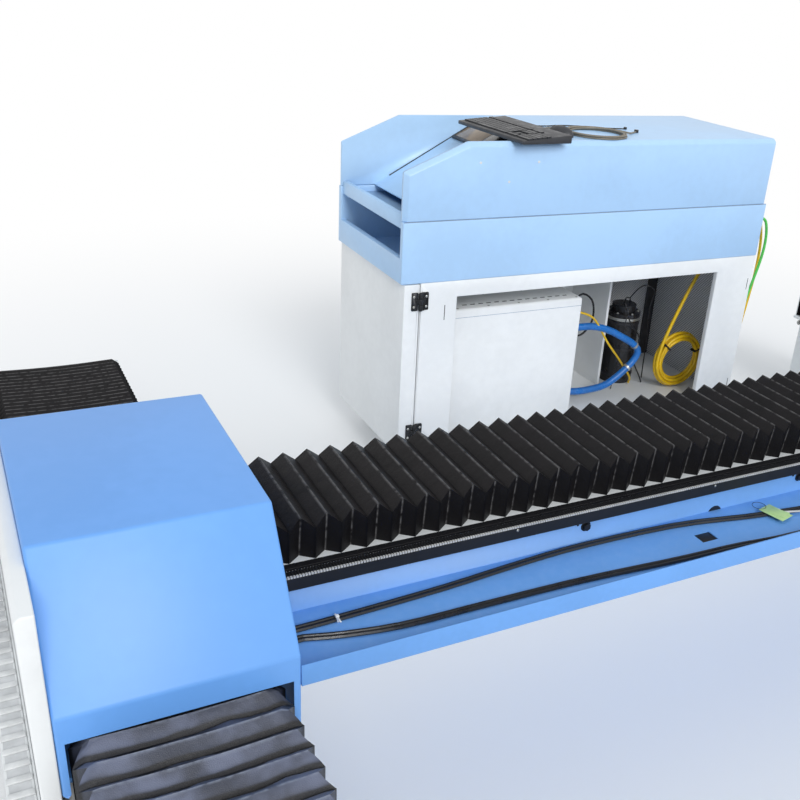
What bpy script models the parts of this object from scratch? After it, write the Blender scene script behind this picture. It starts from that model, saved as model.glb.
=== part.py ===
"""Moving-gantry laser cutting machine: two floor rails, a cross beam with its cutting head, and the console.

Metres, +Z up. X runs along the cross beam, Y along the floor rails. The origin is on the floor,
in the middle of the ground that the machine covers.
"""
import math

import bmesh
import bpy
from mathutils import Matrix, Vector

# General fits
GAP = 0.0003              # between pieces that touch
OVERRUN = 0.01            # how far a cutter passes its piece
RUN_CLEARANCE = 0.001     # between a guide block and its rail
SHEET = 0.003             # folded sheet of the covers
SQUARE_EDGE = math.radians(80.0)
ROUND_SIDES = 24          # facets round a large turned piece
SHAFT_SIDES = 16
SMALL_SIDES = 12
ROPE_SIDES = 8
COIL_SIDES = 10

# Overall layout
RAIL_SPACING = 3.136      # rail centre to rail centre
RAIL_LENGTH = 3.70
CONSOLE_REACH = 0.441     # console back, behind the rear ends of the rails
OVERALL_DEPTH = RAIL_LENGTH + CONSOLE_REACH
GANTRY_Y = 0.354          # carriage centre along Y at rest
SADDLE_X = 0.659          # head carriage centre along X at rest
RAIL_FRONT_Y = -OVERALL_DEPTH / 2
RAIL_REAR_Y = RAIL_FRONT_Y + RAIL_LENGTH
CONSOLE_REAR_Y = OVERALL_DEPTH / 2

# Floor rail: a box beam with a wide top flange on welded feet
RAIL_TOP_Z = 0.40
RAIL_BODY_WIDTH = 0.26
RAIL_FLANGE_WIDTH = 0.364
RAIL_FLANGE = 0.012
RAIL_WALL = 0.008
RAIL_BOTTOM_Z = 0.06
FOOT_WIDTH = 0.34
FOOT_LENGTH = 0.14
FOOT_COUNT = 4
FOOT_INSET = 0.16
END_PLATE = 0.006
END_PLATE_Z = 0.53
END_PLATE_WIDTH = 0.34

# Cable duct along the outer side of each rail
DUCT_NEAR = 0.225         # inner face, from the rail centre
DUCT_REACH = 0.272        # outer face
DUCT_Z = 0.30
DUCT_FLOOR_Z = 0.06
DUCT_FLANGE_Z = 0.10

# Linear guide and rack on the rail
GUIDE_WIDTH = 0.023
GUIDE_WAIST = 0.015
GUIDE_HEIGHT = 0.022
RACK_SIZE = 0.022
RACK_FACE = 0.086         # toothed face, inwards from the rail centre
BLOCK_WIDTH = 0.070
BLOCK_LENGTH = 0.40
BLOCK_HEIGHT = 0.034
PINION_TEETH = 20
PINION_OUTER = 0.0185
PINION_ROOT = 0.0150
PINION_PITCH = 0.018
PINION_SHAFT = 0.007
PINION_GAP = 0.0005
TOOTH_ROOT_SHARE = 0.30
TOOTH_TIP_SHARE = 0.16

# Carriage plate
PLATE_WIDTH = 0.33
PLATE_LENGTH = 0.55
PLATE = 0.020
PLATE_Z = RAIL_TOP_Z + GAP + GUIDE_HEIGHT + 0.018
PLATE_TOP_Z = PLATE_Z + PLATE
SHAFT_HOLE = 0.012

# Servo drives
DRIVE_Y = -0.185          # drive axis from the carriage centre
FLANGE_SIZE = 0.064
FLANGE_THICKNESS = 0.012
GEARBOX_RADIUS = 0.030
GEARBOX_LENGTH = 0.060
MOTOR_SIZE = 0.058
MOTOR_LENGTH = 0.130
MOTOR_CAP = 0.040

# Carriage cover
COVER_WIDTH = 0.382
COVER_LENGTH = 0.615
COVER_TOP_Z = 0.824
COVER_FOLD_Z = 0.607
COVER_BOTTOM_Z = 0.453
COVER_SLOPE = 0.145
CUT_WIDTH = 0.356
CUT_TOP_Z = 0.559

# White side guard outside the cover
GUARD_THICKNESS = 0.029
GUARD_TOP_Z = 0.80
GUARD_BOTTOM_Z = 0.14
GUARD_CHAMFER = 0.008

# Rail bellows
Y_BELLOWS_WIDTH = 0.344
Y_BELLOWS_TOP_Z = 0.540
Y_BELLOWS_FOLDS = 44
PLEAT_DEPTH = 0.020
PLEAT_SHEET = 0.002

# Cross beam, measured along Y from the carriage centre
BEAM_FRONT = -0.1055
BEAM_REAR = 0.206
BEAM_TOP_Z = 0.634
BEAM_WALL = 0.008
BEAM_INSET = 0.071        # beam end, inwards from the rail centre
NOTCH_CLEARANCE = 0.003
TRAY_LIP = -0.3075
TRAY_FLOOR_Z = 0.543
TRAY_LIP_Z = 0.587
TRAY_FLANGE_Z = 0.632
TRAY_SHEET = 0.0025
SLOT_X = -0.399
SLOT_Y = -0.1945
SLOT_LENGTH = 0.044
SLOT_WIDTH = 0.034
X_RACK_Z = 0.609
X_RACK_HEIGHT = 0.030
X_GUIDE_YS = (-0.0245, 0.1255)
X_GUIDE_WIDTH = 0.020
X_GUIDE_WAIST = 0.013
X_GUIDE_HEIGHT = 0.018
STRIP_THICKNESS = 0.006
STRIP_WIDTH = 0.040
X_BELLOWS_FRONT = -0.1035
X_BELLOWS_REAR = 0.1955
X_BELLOWS_TOP_Z = 0.726
X_BELLOWS_FOLDS = 37

# Cables in the tray
TRAY_CABLE = 0.0078
CABLE_PAIR = 0.0092       # between the two cables of a pair
CABLE_POINTS = 34

# Head carriage
SADDLE_LENGTH = 0.300
SADDLE_Z = 0.700
SADDLE_PLATE = 0.018
SADDLE_FRONT = -0.3495
SADDLE_REAR = 0.190
X_BLOCK_WIDTH = 0.060
X_BLOCK_LENGTH = 0.240
X_BLOCK_Z = 0.641
X_BLOCK_TOP_Z = 0.665
PAD_LENGTH = 0.260
BRACKET = 0.004
BRACKET_Z = 0.660
TAB = 0.006
TAB_Z = 0.622
TAB_WIDTH = 0.070
FACE_PLATE = 0.015
FACE_WIDTH = 0.220
FACE_BOTTOM_Z = 0.640
FACE_TOP_Z = 1.110
GUSSET = 0.012
GUSSET_REACH = 0.150
GUSSET_Z = 0.900
Z_RIB_X = 0.050
Z_RIB_WIDTH = 0.016
Z_RIB_DEPTH = 0.012
Z_FOOT_WIDTH = 0.028
Z_FOOT_DEPTH = 0.020
Z_FOOT = 0.010
Z_HEAD_WIDTH = 0.070
Z_HEAD_DEPTH = 0.046
SCREW_RADIUS = 0.008
SCREW_OFF = 0.012         # screw axis from the face plate
SCREW_COLLAR = 0.010
SCREW_COLLAR_LENGTH = 0.016
NUT_LENGTH = 0.034
SADDLE_COVER_FRONT = -0.190
SADDLE_COVER_TOP_Z = 0.850
SADDLE_COVER_SLOPE = 0.060
Z_MOTOR_HEIGHT = 0.110

# Vertical slide and cutting head
SLIDE_WIDTH = 0.150
SLIDE_DEPTH = 0.034
SLIDE_BOTTOM_Z = 0.720
SLIDE_HEIGHT = 0.200
SLIDE_MARGIN = 0.010      # nut's bottom above the slide's middle
SLIDE_CHANNEL = 0.040
SLIDE_CHANNEL_DEPTH = 0.024
HEAD_SIZE = 0.080
HEAD_BOTTOM_Z = 0.620
HEAD_HEIGHT = 0.200
HEAD_BEVEL = 0.006
COLLIMATOR_RADIUS = 0.030
COLLIMATOR_HEIGHT = 0.110
CONNECTOR_RADIUS = 0.017
CONNECTOR_HEIGHT = 0.050
LENS_RADIUS = 0.034
LENS_HEIGHT = 0.100
NOZZLE_RADIUS = 0.024
NOZZLE_TIP = 0.006
NOZZLE_BORE = 0.0015
NOZZLE_HEIGHT = 0.070
NOZZLE_COLLAR = 0.022

# Console
CONSOLE_WIDTH = 1.516
CONSOLE_DEPTH = 0.554
CONSOLE_X = 0.217         # middle of the console along X
CONSOLE_WALL = 0.022
BASE_TOP_Z = 0.722
BASE_LEFT_SETBACK = 0.070   # room for the door in front of the base
PLINTH_Z = 0.10
PLINTH_INSET = 0.030
BASE_WINDOW_LEFT = 0.206    # from the console's left end
BASE_WINDOW_RIGHT = 0.183   # from its right end
BASE_WINDOW_TOP_Z = 0.667
PARTITION_X = 0.471         # from the right end
PARTITION = 0.012
PARTITION_FRONT = 0.28
DOOR_THICKNESS = 0.055
DOOR_SHEET = 0.004
DOOR_BOTTOM_Z = 0.105
DOOR_PLAY = 0.003
HINGE_ZS = (0.160, 0.632)
HINGE_HEIGHT = 0.061
HINGE_LEAF = 0.030
HINGE_SHEET = 0.004
HINGE_BARREL = 0.007
HINGE_OFF = 0.008         # hinge axis in front of the near face
HINGE_REACH = 0.0075      # leaf edge from the hinge axis
RING_TOP_Z = 0.922
RING_FLOOR = 0.008
RING_LIP_Z = 0.803
RIM_Z = 1.163
RIM_CHAMFER = 0.014
SLOPE_START_Z = 1.074
SLOPE_RUN = 0.216
PANEL_START = 0.128       # foot of the operator's sloped panel, from the console's left end
PANEL_EDGE = 0.004
PANEL_END = 0.560         # where the panel meets the roof
TOP_HOLLOW_START = 0.260
TRAY_SLIDE_Z = 0.895
TRAY_SLIDE_SHEET = 0.006
TRAY_SLIDE_LIP_Z = 0.940
TRAY_SLIDE_LENGTH = 0.46
TRAY_SLIDE_LIP = 0.020
TRAY_SLIDE_PLAY = 0.002
TRAY_SLIDE_SETBACK = 0.006
RUNNER = 0.014
TOP_HOLLOW_Z = 0.960
GLAND_RADIUS = 0.012
GLAND_LENGTH = 0.012
GLAND_YS = (0.036, 0.070)   # from the console's near face
GLAND_HIGH_Z = 0.862
GLAND_LOW_Z = 0.060

# Inside the console: the source from its left end, the rest from its right end, and Y from its near face
SOURCE_X = 0.235
SOURCE_Y = 0.073
SOURCE_WIDTH = 0.535
SOURCE_DEPTH = 0.150
SOURCE_TOP_Z = 0.591
SOURCE_BEVEL = 0.006
FLOOR_Z = PLINTH_Z + 0.020
PUMP_X = 0.346
PUMP_Y = 0.330
PUMP_RADIUS = 0.070
PUMP_HEIGHT = 0.330
PUMP_CAP_RADIUS = 0.050
PUMP_CAP_HEIGHT = 0.030
PANEL_X = 0.291
PANEL_WIDTH = 0.215
PANEL_HEIGHT = 0.520
PANEL_THICKNESS = 0.003
HOSE_RADIUS = 0.014
HOSE_LOW_Z = 0.180
HOSE_HIGH_Z = 0.445
HOSE_REACH = 0.345
HOSE_POINTS = 15
COIL_X = 0.141
COIL_Y = 0.175
COIL_Z = 0.245
COIL_RADIUS = 0.090
COIL_ROPE = 0.018
COIL_STEPS = 24
FIBRE_RADIUS = 0.010

# Keyboard and mouse on the console's top
KEYBOARD_LENGTH = 0.40
KEYBOARD_WIDTH = 0.19
KEYBOARD_FRONT = 0.012
KEYBOARD_BACK = 0.026
KEYBOARD_X = 0.455
KEYBOARD_Y = 0.150
KEYBOARD_TURN = -1.514
MOUSE_LENGTH = 0.105
MOUSE_WIDTH = 0.060
MOUSE_HEIGHT = 0.034
MOUSE_X = 0.612
MOUSE_Y = 0.103
MOUSE_TURN = 0.35
LEAD_COIL_X = 0.775
LEAD_COIL_Y = 0.112
LEAD_COIL_RADIUS = 0.085
LEAD_COIL_ROPE = 0.011
SIDE_CABLE = 0.011
SIDE_CABLE_POINTS = 26

LEFT = -1
RIGHT = 1


def clear_scene():
    """Start from an empty scene."""
    for item in list(bpy.data.objects):
        bpy.data.objects.remove(item, do_unlink=True)


def finish(name, colour, roughness, metallic=0.0):
    """A Principled material with one colour."""
    material = bpy.data.materials.new(name)
    material.use_nodes = True
    shader = material.node_tree.nodes["Principled BSDF"]
    shader.inputs["Base Color"].default_value = (*colour, 1.0)
    shader.inputs["Roughness"].default_value = roughness
    shader.inputs["Metallic"].default_value = metallic
    return material


def make_finishes():
    """All finishes by name."""
    return {
        "blue": finish("light_blue_powder_coat", (0.20, 0.42, 0.86), 0.42),
        "white": finish("white_powder_coat", (0.86, 0.87, 0.88), 0.45),
        "pleat": finish("black_bellows_cloth", (0.035, 0.033, 0.040), 0.42),
        "steel": finish("ground_steel", (0.62, 0.63, 0.65), 0.28, 1.0),
        "black": finish("black_oxide_steel", (0.03, 0.03, 0.035), 0.45, 0.6),
        "plate": finish("milled_plate", (0.45, 0.46, 0.48), 0.40, 0.8),
        "motor": finish("motor_black", (0.04, 0.04, 0.045), 0.40, 0.2),
        "brass": finish("copper_nozzle", (0.72, 0.40, 0.22), 0.30, 1.0),
        "grey": finish("grey_plastic", (0.20, 0.20, 0.21), 0.55),
        "hose": finish("blue_hose", (0.02, 0.22, 0.62), 0.45),
        "yellow": finish("yellow_jacket", (0.86, 0.62, 0.03), 0.45),
        "green": finish("green_jacket", (0.16, 0.62, 0.16), 0.45),
        "jacket": finish("black_jacket", (0.02, 0.02, 0.025), 0.45),
    }


def new_object(name, mesh_data, material):
    """Link a mesh to the scene under one name."""
    item = bpy.data.objects.new(name, mesh_data)
    bpy.context.scene.collection.objects.link(item)
    if material:
        mesh_data.materials.append(material)
    return item


def from_bmesh(name, shape, material):
    """Finish a bmesh as an object with its faces pointing out."""
    bmesh.ops.recalc_face_normals(shape, faces=shape.faces)
    mesh_data = bpy.data.meshes.new(name)
    shape.to_mesh(mesh_data)
    shape.free()
    return new_object(name, mesh_data, material)


def at_axis(axis, first, second, along):
    """A point from its place in a cross-section and its place along the axis."""
    if axis == "X":
        return Vector((along, first, second))
    if axis == "Y":
        return Vector((first, along, second))
    return Vector((first, second, along))


def prism(name, outline, axis, low, high, material):
    """Extrude an outline along an axis, from low to high."""
    shape = bmesh.new()
    base = [shape.verts.new(at_axis(axis, a, b, low)) for a, b in outline]
    face = shape.faces.new(base)
    grown = bmesh.ops.extrude_face_region(shape, geom=[face])["geom"]
    moved = [item for item in grown if isinstance(item, bmesh.types.BMVert)]
    bmesh.ops.translate(shape, verts=moved, vec=at_axis(axis, 0.0, 0.0, high - low))
    return from_bmesh(name, shape, material)


def block(name, xs, ys, zs, material):
    """A rectangular block between its low and high corners."""
    outline = [(xs[0], ys[0]), (xs[1], ys[0]), (xs[1], ys[1]), (xs[0], ys[1])]
    return prism(name, outline, "Z", zs[0], zs[1], material)


def circle(radius, first, second, sides):
    """Points round a circle in a cross-section."""
    turn = 2.0 * math.pi / sides
    return [
        (first + radius * math.cos(step * turn), second + radius * math.sin(step * turn))
        for step in range(sides)
    ]


def rod(name, radius, centre, axis, low, high, material, sides=ROUND_SIDES):
    """A round bar along an axis."""
    return prism(name, circle(radius, centre[0], centre[1], sides), axis, low, high, material)


def turned(name, profile, centre, sides, material):
    """Revolve a closed (radius, z) profile round an upright axis."""
    shape = bmesh.new()
    rings = []
    for step in range(sides):
        angle = 2.0 * math.pi * step / sides
        rings.append([
            shape.verts.new((centre[0] + r * math.cos(angle), centre[1] + r * math.sin(angle), z))
            for r, z in profile
        ])
    for step, ring in enumerate(rings):
        other = rings[(step + 1) % sides]
        for place in range(len(profile)):
            following = (place + 1) % len(profile)
            shape.faces.new((ring[place], other[place], other[following], ring[following]))
    return from_bmesh(name, shape, material)


def combine(target, tool, operation):
    """Cut or join with a hidden tool object."""
    tool.name = f"{target.name}_tool_{len(target.modifiers)}"
    tool.hide_render = True
    tool.display_type = "WIRE"
    change = target.modifiers.new(operation.lower(), "BOOLEAN")
    change.operation = operation
    change.object = tool
    return target


def cut(target, *tools):
    """Take the tools' shapes out of the target."""
    for tool in tools:
        combine(target, tool, "DIFFERENCE")
    return target


def join(target, *tools):
    """Weld the tools' shapes onto the target."""
    for tool in tools:
        combine(target, tool, "UNION")
    return target


def bevel(target, width, segments=2):
    """Round the edges of a piece."""
    change = target.modifiers.new("bevel", "BEVEL")
    change.width = width
    change.segments = segments
    change.limit_method = "ANGLE"
    return target


def chamfer_above(target, level, width):
    """Chamfer the square edges of a piece, apart from those that lie at its lowest level."""
    shape = bmesh.new()
    shape.from_mesh(target.data)
    edges = [edge for edge in shape.edges
             if max(vert.co.z for vert in edge.verts) > level + GAP and edge.calc_face_angle() > SQUARE_EDGE]
    bmesh.ops.bevel(shape, geom=edges, offset=width, offset_type="OFFSET", segments=1, profile=0.5,
                    affect="EDGES")
    shape.to_mesh(target.data)
    shape.free()
    return target


def smooth_path(points, count):
    """Evenly numbered points on a smooth curve through the given ones."""
    route = [Vector(point) for point in points]
    route = [2.0 * route[0] - route[1], *route, 2.0 * route[-1] - route[-2]]
    spans = len(points) - 1
    result = []
    for step in range(count):
        place = spans * step / (count - 1)
        span = min(int(place), spans - 1)
        t = place - span
        before, start, end, after = route[span:span + 4]
        result.append(0.5 * (
            2.0 * start + (end - before) * t
            + (2.0 * before - 5.0 * start + 4.0 * end - after) * t ** 2
            + (3.0 * start - before - 3.0 * end + after) * t ** 3
        ))
    return result


def plugged_path(points, count):
    """A smooth path whose first and last pieces run straight out of their sockets."""
    return [Vector(points[0]), *smooth_path(points[1:-1], count - 2), Vector(points[-1])]


def tube(name, route, radius, material, resolution=2, cyclic=False):
    """A round cable along its route."""
    curve = bpy.data.curves.new(name, "CURVE")
    curve.dimensions = "3D"
    curve.bevel_depth = radius
    curve.bevel_resolution = resolution
    curve.use_fill_caps = True
    spline = curve.splines.new("POLY")
    spline.points.add(len(route) - 1)
    for point, place in zip(spline.points, route):
        point.co = (*place, 1.0)
    spline.use_cyclic_u = cyclic
    curve.materials.append(material)
    item = bpy.data.objects.new(name, curve)
    bpy.context.scene.collection.objects.link(item)
    return item


def bellows(name, axis, low, high, side_low, side_high, top, hem, folds, material):
    """A pleated cloth cover: ridges on the roof run into inner folds of the skirts, and back again."""
    shape = bmesh.new()
    stations = 2 * folds + 1
    pitch = (high - low) / (stations - 1)
    outer, inner = [], []
    for step in range(stations):
        valley = step % 2 == 0
        drop = PLEAT_DEPTH if valley else 0.0
        tuck = 0.0 if valley else PLEAT_DEPTH
        along = low + step * pitch
        left, right, roof = side_low + tuck, side_high - tuck, top - drop
        for loop, sheet in ((outer, 0.0), (inner, PLEAT_SHEET)):
            profile = [
                (left + sheet, hem), (left + sheet, roof - sheet),
                (right - sheet, roof - sheet), (right - sheet, hem),
            ]
            loop.append([shape.verts.new(at_axis(axis, a, b, along)) for a, b in profile])
    sides = len(outer[0])
    for step in range(stations - 1):
        for place in range(sides - 1):
            for loop in (outer, inner):
                here, there = loop[step], loop[step + 1]
                shape.faces.new((here[place], there[place], there[place + 1], here[place + 1]))
        for place in (0, sides - 1):
            shape.faces.new((outer[step][place], outer[step + 1][place],
                             inner[step + 1][place], inner[step][place]))
    for step in (0, stations - 1):
        for place in range(sides - 1):
            shape.faces.new((outer[step][place], outer[step][place + 1],
                             inner[step][place + 1], inner[step][place]))
    return from_bmesh(name, shape, material)


def guide_outline(centre, bottom, width, waist, height):
    """Section of a linear guide rail, with its two ball grooves."""
    half, neck = width / 2, waist / 2
    low, high = bottom + height / 3, bottom + height * 2 / 3
    return [
        (centre - half, bottom), (centre + half, bottom), (centre + half, low),
        (centre + neck, (low + high) / 2),
        (centre + half, high), (centre + half, bottom + height), (centre - half, bottom + height),
        (centre - half, high), (centre - neck, (low + high) / 2), (centre - half, low),
    ]


def block_outline(centre, bottom, top, width, rail_width, rail_top):
    """Section of a guide block that straddles its rail."""
    half, notch = width / 2, rail_width / 2 + RUN_CLEARANCE
    roof = rail_top + RUN_CLEARANCE
    return [
        (centre - half, bottom), (centre - notch, bottom), (centre - notch, roof), (centre + notch, roof),
        (centre + notch, bottom), (centre + half, bottom), (centre + half, top), (centre - half, top),
    ]


def gear_outline(first, second):
    """Outline of a pinion with straight-flanked teeth."""
    points = []
    step = 2.0 * math.pi / PINION_TEETH
    root, tip = TOOTH_ROOT_SHARE * step, TOOTH_TIP_SHARE * step
    for tooth in range(PINION_TEETH):
        middle = tooth * step
        corners = ((PINION_ROOT, -root), (PINION_OUTER, -tip), (PINION_OUTER, tip), (PINION_ROOT, root))
        for radius, lag in corners:
            angle = middle + lag
            points.append((first + radius * math.cos(angle), second + radius * math.sin(angle)))
    return points


def outward(side, distance):
    """X of a place measured outwards from a rail's centre line."""
    return side * (RAIL_SPACING / 2 + distance)


def span(side, near, far):
    """Sorted X pair between two outward distances."""
    return tuple(sorted((outward(side, near), outward(side, far))))


def rail_base(prefix, side, paint):
    """Welded floor beam with its flange, feet, end plates and cable duct."""
    half, flange = RAIL_BODY_WIDTH / 2, RAIL_FLANGE_WIDTH / 2
    under = RAIL_TOP_Z - RAIL_FLANGE
    middle = outward(side, 0.0)
    outline = [
        (middle - half, RAIL_BOTTOM_Z), (middle + half, RAIL_BOTTOM_Z), (middle + half, under),
        (middle + flange, under), (middle + flange, RAIL_TOP_Z), (middle - flange, RAIL_TOP_Z),
        (middle - flange, under), (middle - half, under),
    ]
    base = prism(f"{prefix}_rail_base", outline, "Y", RAIL_FRONT_Y, RAIL_REAR_Y, paint)
    bore = block("bore", (middle - half + RAIL_WALL, middle + half - RAIL_WALL),
                 (RAIL_FRONT_Y - OVERRUN, RAIL_REAR_Y + OVERRUN),
                 (RAIL_BOTTOM_Z + RAIL_WALL, under - RAIL_WALL), None)
    cut(base, bore)
    reach = RAIL_LENGTH - 2 * FOOT_INSET
    for count in range(FOOT_COUNT):
        y = RAIL_FRONT_Y + FOOT_INSET + reach * count / (FOOT_COUNT - 1)
        foot = block("foot", (middle - FOOT_WIDTH / 2, middle + FOOT_WIDTH / 2),
                     (y - FOOT_LENGTH / 2, y + FOOT_LENGTH / 2), (0.0, RAIL_BOTTOM_Z + RAIL_WALL / 2), None)
        join(base, foot)
    for low, foot_z in ((RAIL_FRONT_Y, RAIL_BOTTOM_Z + RAIL_WALL / 2), (RAIL_REAR_Y - END_PLATE, under)):
        plate = block("end", (middle - END_PLATE_WIDTH / 2, middle + END_PLATE_WIDTH / 2),
                      (low, low + END_PLATE), (foot_z, END_PLATE_Z), None)
        join(base, plate)
    duct_floor = DUCT_FLOOR_Z + RAIL_WALL / 4
    places = [(half - RAIL_WALL / 2, duct_floor), (DUCT_REACH, duct_floor), (DUCT_REACH, DUCT_Z),
              (DUCT_NEAR, DUCT_Z), (DUCT_NEAR, DUCT_FLANGE_Z),
              (half - RAIL_WALL / 2, DUCT_FLANGE_Z)]
    outline = [(outward(side, reach), z) for reach, z in places]
    join(base, prism("duct", outline, "Y", RAIL_FRONT_Y, RAIL_REAR_Y, None))
    return base


def rail_fittings(prefix, side, looks):
    """Linear guide, rack and the two bellows of one floor rail."""
    low, high = RAIL_FRONT_Y + END_PLATE + GAP, RAIL_REAR_Y - END_PLATE - GAP
    seat = RAIL_TOP_Z + GAP
    outline = guide_outline(outward(side, 0.0), seat, GUIDE_WIDTH, GUIDE_WAIST, GUIDE_HEIGHT)
    prism(f"{prefix}_guide_rail", outline, "Y", low, high, looks["steel"])
    rack_xs = span(side, -RACK_FACE, RACK_SIZE - RACK_FACE)
    block(f"{prefix}_rack", rack_xs, (low, high), (seat, seat + RACK_SIZE), looks["black"])
    sides = span(side, -Y_BELLOWS_WIDTH / 2, Y_BELLOWS_WIDTH / 2)
    front_end = GANTRY_Y - PLATE_LENGTH / 2 - GAP
    rear_end = GANTRY_Y + PLATE_LENGTH / 2 + GAP
    hem = RAIL_TOP_Z + GAP
    bellows(f"{prefix}_front_bellows", "Y", low, front_end, *sides, Y_BELLOWS_TOP_Z, hem,
            Y_BELLOWS_FOLDS, looks["pleat"])
    bellows(f"{prefix}_rear_bellows", "Y", rear_end, high, *sides, Y_BELLOWS_TOP_Z, hem,
            Y_BELLOWS_FOLDS, looks["pleat"])


def drive(name, axis, centre, start, way, material):
    """Servo motor on its gearbox, standing on its flange."""
    def reach(near, far):
        return tuple(sorted((start + way * near, start + way * far)))

    def square(size):
        half = size / 2
        a, b = centre
        return [(a - half, b - half), (a + half, b - half), (a + half, b + half), (a - half, b + half)]

    low, high = reach(0.0, FLANGE_THICKNESS)
    body = prism(name, square(FLANGE_SIZE), axis, low, high, material)
    box_end = FLANGE_THICKNESS + GEARBOX_LENGTH
    join(body, rod("gearbox", GEARBOX_RADIUS, centre, axis, *reach(FLANGE_THICKNESS / 2, box_end), None))
    join(body, prism("motor", square(MOTOR_SIZE), axis, *reach(box_end - FLANGE_THICKNESS / 2,
                                                             box_end + MOTOR_LENGTH - MOTOR_CAP), None))
    join(body, prism("cap", square(MOTOR_SIZE - FLANGE_THICKNESS), axis,
                     *reach(box_end, box_end + MOTOR_LENGTH), None))
    return body


def carriage(prefix, side, looks):
    """Plate, guide blocks, drive, pinion, cover and side guard of one end carriage."""
    middle = outward(side, 0.0)
    drive_x = outward(side, -RACK_FACE - PINION_OUTER - PINION_GAP)
    drive_y = GANTRY_Y + DRIVE_Y
    plate = block(f"{prefix}_carriage_plate", (middle - PLATE_WIDTH / 2, middle + PLATE_WIDTH / 2),
                  (GANTRY_Y - PLATE_LENGTH / 2, GANTRY_Y + PLATE_LENGTH / 2), (PLATE_Z, PLATE_TOP_Z),
                  looks["plate"])
    cut(plate, rod("shaft_hole", SHAFT_HOLE, (drive_x, drive_y), "Z",
                   PLATE_Z - OVERRUN, PLATE_TOP_Z + OVERRUN, None))
    rail_top = RAIL_TOP_Z + GAP + GUIDE_HEIGHT
    bottom = PLATE_Z - GAP - BLOCK_HEIGHT
    outline = block_outline(middle, bottom, PLATE_Z - GAP, BLOCK_WIDTH, GUIDE_WIDTH, rail_top)
    prism(f"{prefix}_guide_block", outline, "Y", GANTRY_Y - BLOCK_LENGTH / 2, GANTRY_Y + BLOCK_LENGTH / 2,
          looks["steel"])
    drive(f"{prefix}_drive", "Z", (drive_x, drive_y), PLATE_TOP_Z + GAP, 1, looks["motor"])
    seat = RAIL_TOP_Z + GAP + RUN_CLEARANCE
    pinion = prism(f"{prefix}_pinion", gear_outline(drive_x, drive_y), "Z", seat,
                   seat + RACK_SIZE - 2 * RUN_CLEARANCE, looks["steel"])
    join(pinion, rod("shaft", PINION_SHAFT, (drive_x, drive_y), "Z", seat + RUN_CLEARANCE, PLATE_TOP_Z, None,
                     SHAFT_SIDES))
    carriage_cover(prefix, side, looks["blue"])
    side_guard(prefix, side, looks["white"])


def cover_outline(inset):
    """Side outline of a carriage cover: upright front, long slope, level top, upright back."""
    front, rear = GANTRY_Y - COVER_LENGTH / 2 + inset, GANTRY_Y + COVER_LENGTH / 2 - inset
    lean = math.atan2(COVER_TOP_Z - COVER_FOLD_Z, COVER_SLOPE)
    fold = COVER_FOLD_Z - inset * math.tan((math.pi / 2 - lean) / 2)
    brow = GANTRY_Y - COVER_LENGTH / 2 + COVER_SLOPE + inset * math.tan(lean / 2)
    bottom = COVER_BOTTOM_Z - (OVERRUN if inset else 0.0)
    top = COVER_TOP_Z - inset
    return [(front, bottom), (front, fold), (brow, top), (rear, top), (rear, bottom)]


def carriage_cover(prefix, side, paint):
    """Folded sheet cover with cut-outs for the bellows and a notch for the beam."""
    middle = outward(side, 0.0)
    half = COVER_WIDTH / 2
    shell = prism(f"{prefix}_cover", cover_outline(0.0), "X", middle - half, middle + half, paint)
    cut(shell, prism("hollow", cover_outline(SHEET), "X", middle - half + SHEET, middle + half - SHEET, None))
    cut(shell, block("bellows_cut", (middle - CUT_WIDTH / 2, middle + CUT_WIDTH / 2),
                     (GANTRY_Y - COVER_LENGTH / 2 - OVERRUN, GANTRY_Y + COVER_LENGTH / 2 + OVERRUN),
                     (COVER_BOTTOM_Z - OVERRUN, CUT_TOP_Z), None))
    notch = span(side, -half - OVERRUN, -half + OVERRUN)
    cut(shell, block("beam_notch", notch,
                     (GANTRY_Y + BEAM_FRONT - NOTCH_CLEARANCE, GANTRY_Y + BEAM_REAR + NOTCH_CLEARANCE),
                     (COVER_BOTTOM_Z - OVERRUN, BEAM_TOP_Z + NOTCH_CLEARANCE), None))
    ledge_xs = span(side, half - SHEET / 2, PLATE_WIDTH / 2 + GAP)
    ledge_ys = (GANTRY_Y - PLATE_LENGTH / 2, GANTRY_Y + PLATE_LENGTH / 2)
    join(shell, block("ledge", ledge_xs, ledge_ys, (PLATE_Z + PLATE / 2, PLATE_TOP_Z), None))
    return shell


def side_guard(prefix, side, paint):
    """Shallow white pan on the outer side of the cover."""
    near = COVER_WIDTH / 2 + GAP
    xs = span(side, near, near + GUARD_THICKNESS)
    ys = (GANTRY_Y - COVER_LENGTH / 2, GANTRY_Y + COVER_LENGTH / 2)
    bend, top = GUARD_CHAMFER, GUARD_TOP_Z
    inner_x, outer_x = outward(side, near), outward(side, near + GUARD_THICKNESS)
    outline = [(inner_x, GUARD_BOTTOM_Z), (outer_x, GUARD_BOTTOM_Z), (outer_x, top - bend),
               (outer_x - side * bend, top), (inner_x, top)]
    guard = prism(f"{prefix}_side_guard", outline, "Y", ys[0], ys[1], paint)
    hollow_xs = (xs[0] - OVERRUN, xs[1] - SHEET) if side == RIGHT else (xs[0] + SHEET, xs[1] + OVERRUN)
    lower = COVER_BOTTOM_Z - OVERRUN
    cut(guard, block("pan", hollow_xs, (ys[0] + SHEET, ys[1] - SHEET), (GUARD_BOTTOM_Z + SHEET, lower), None))
    return guard


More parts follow.
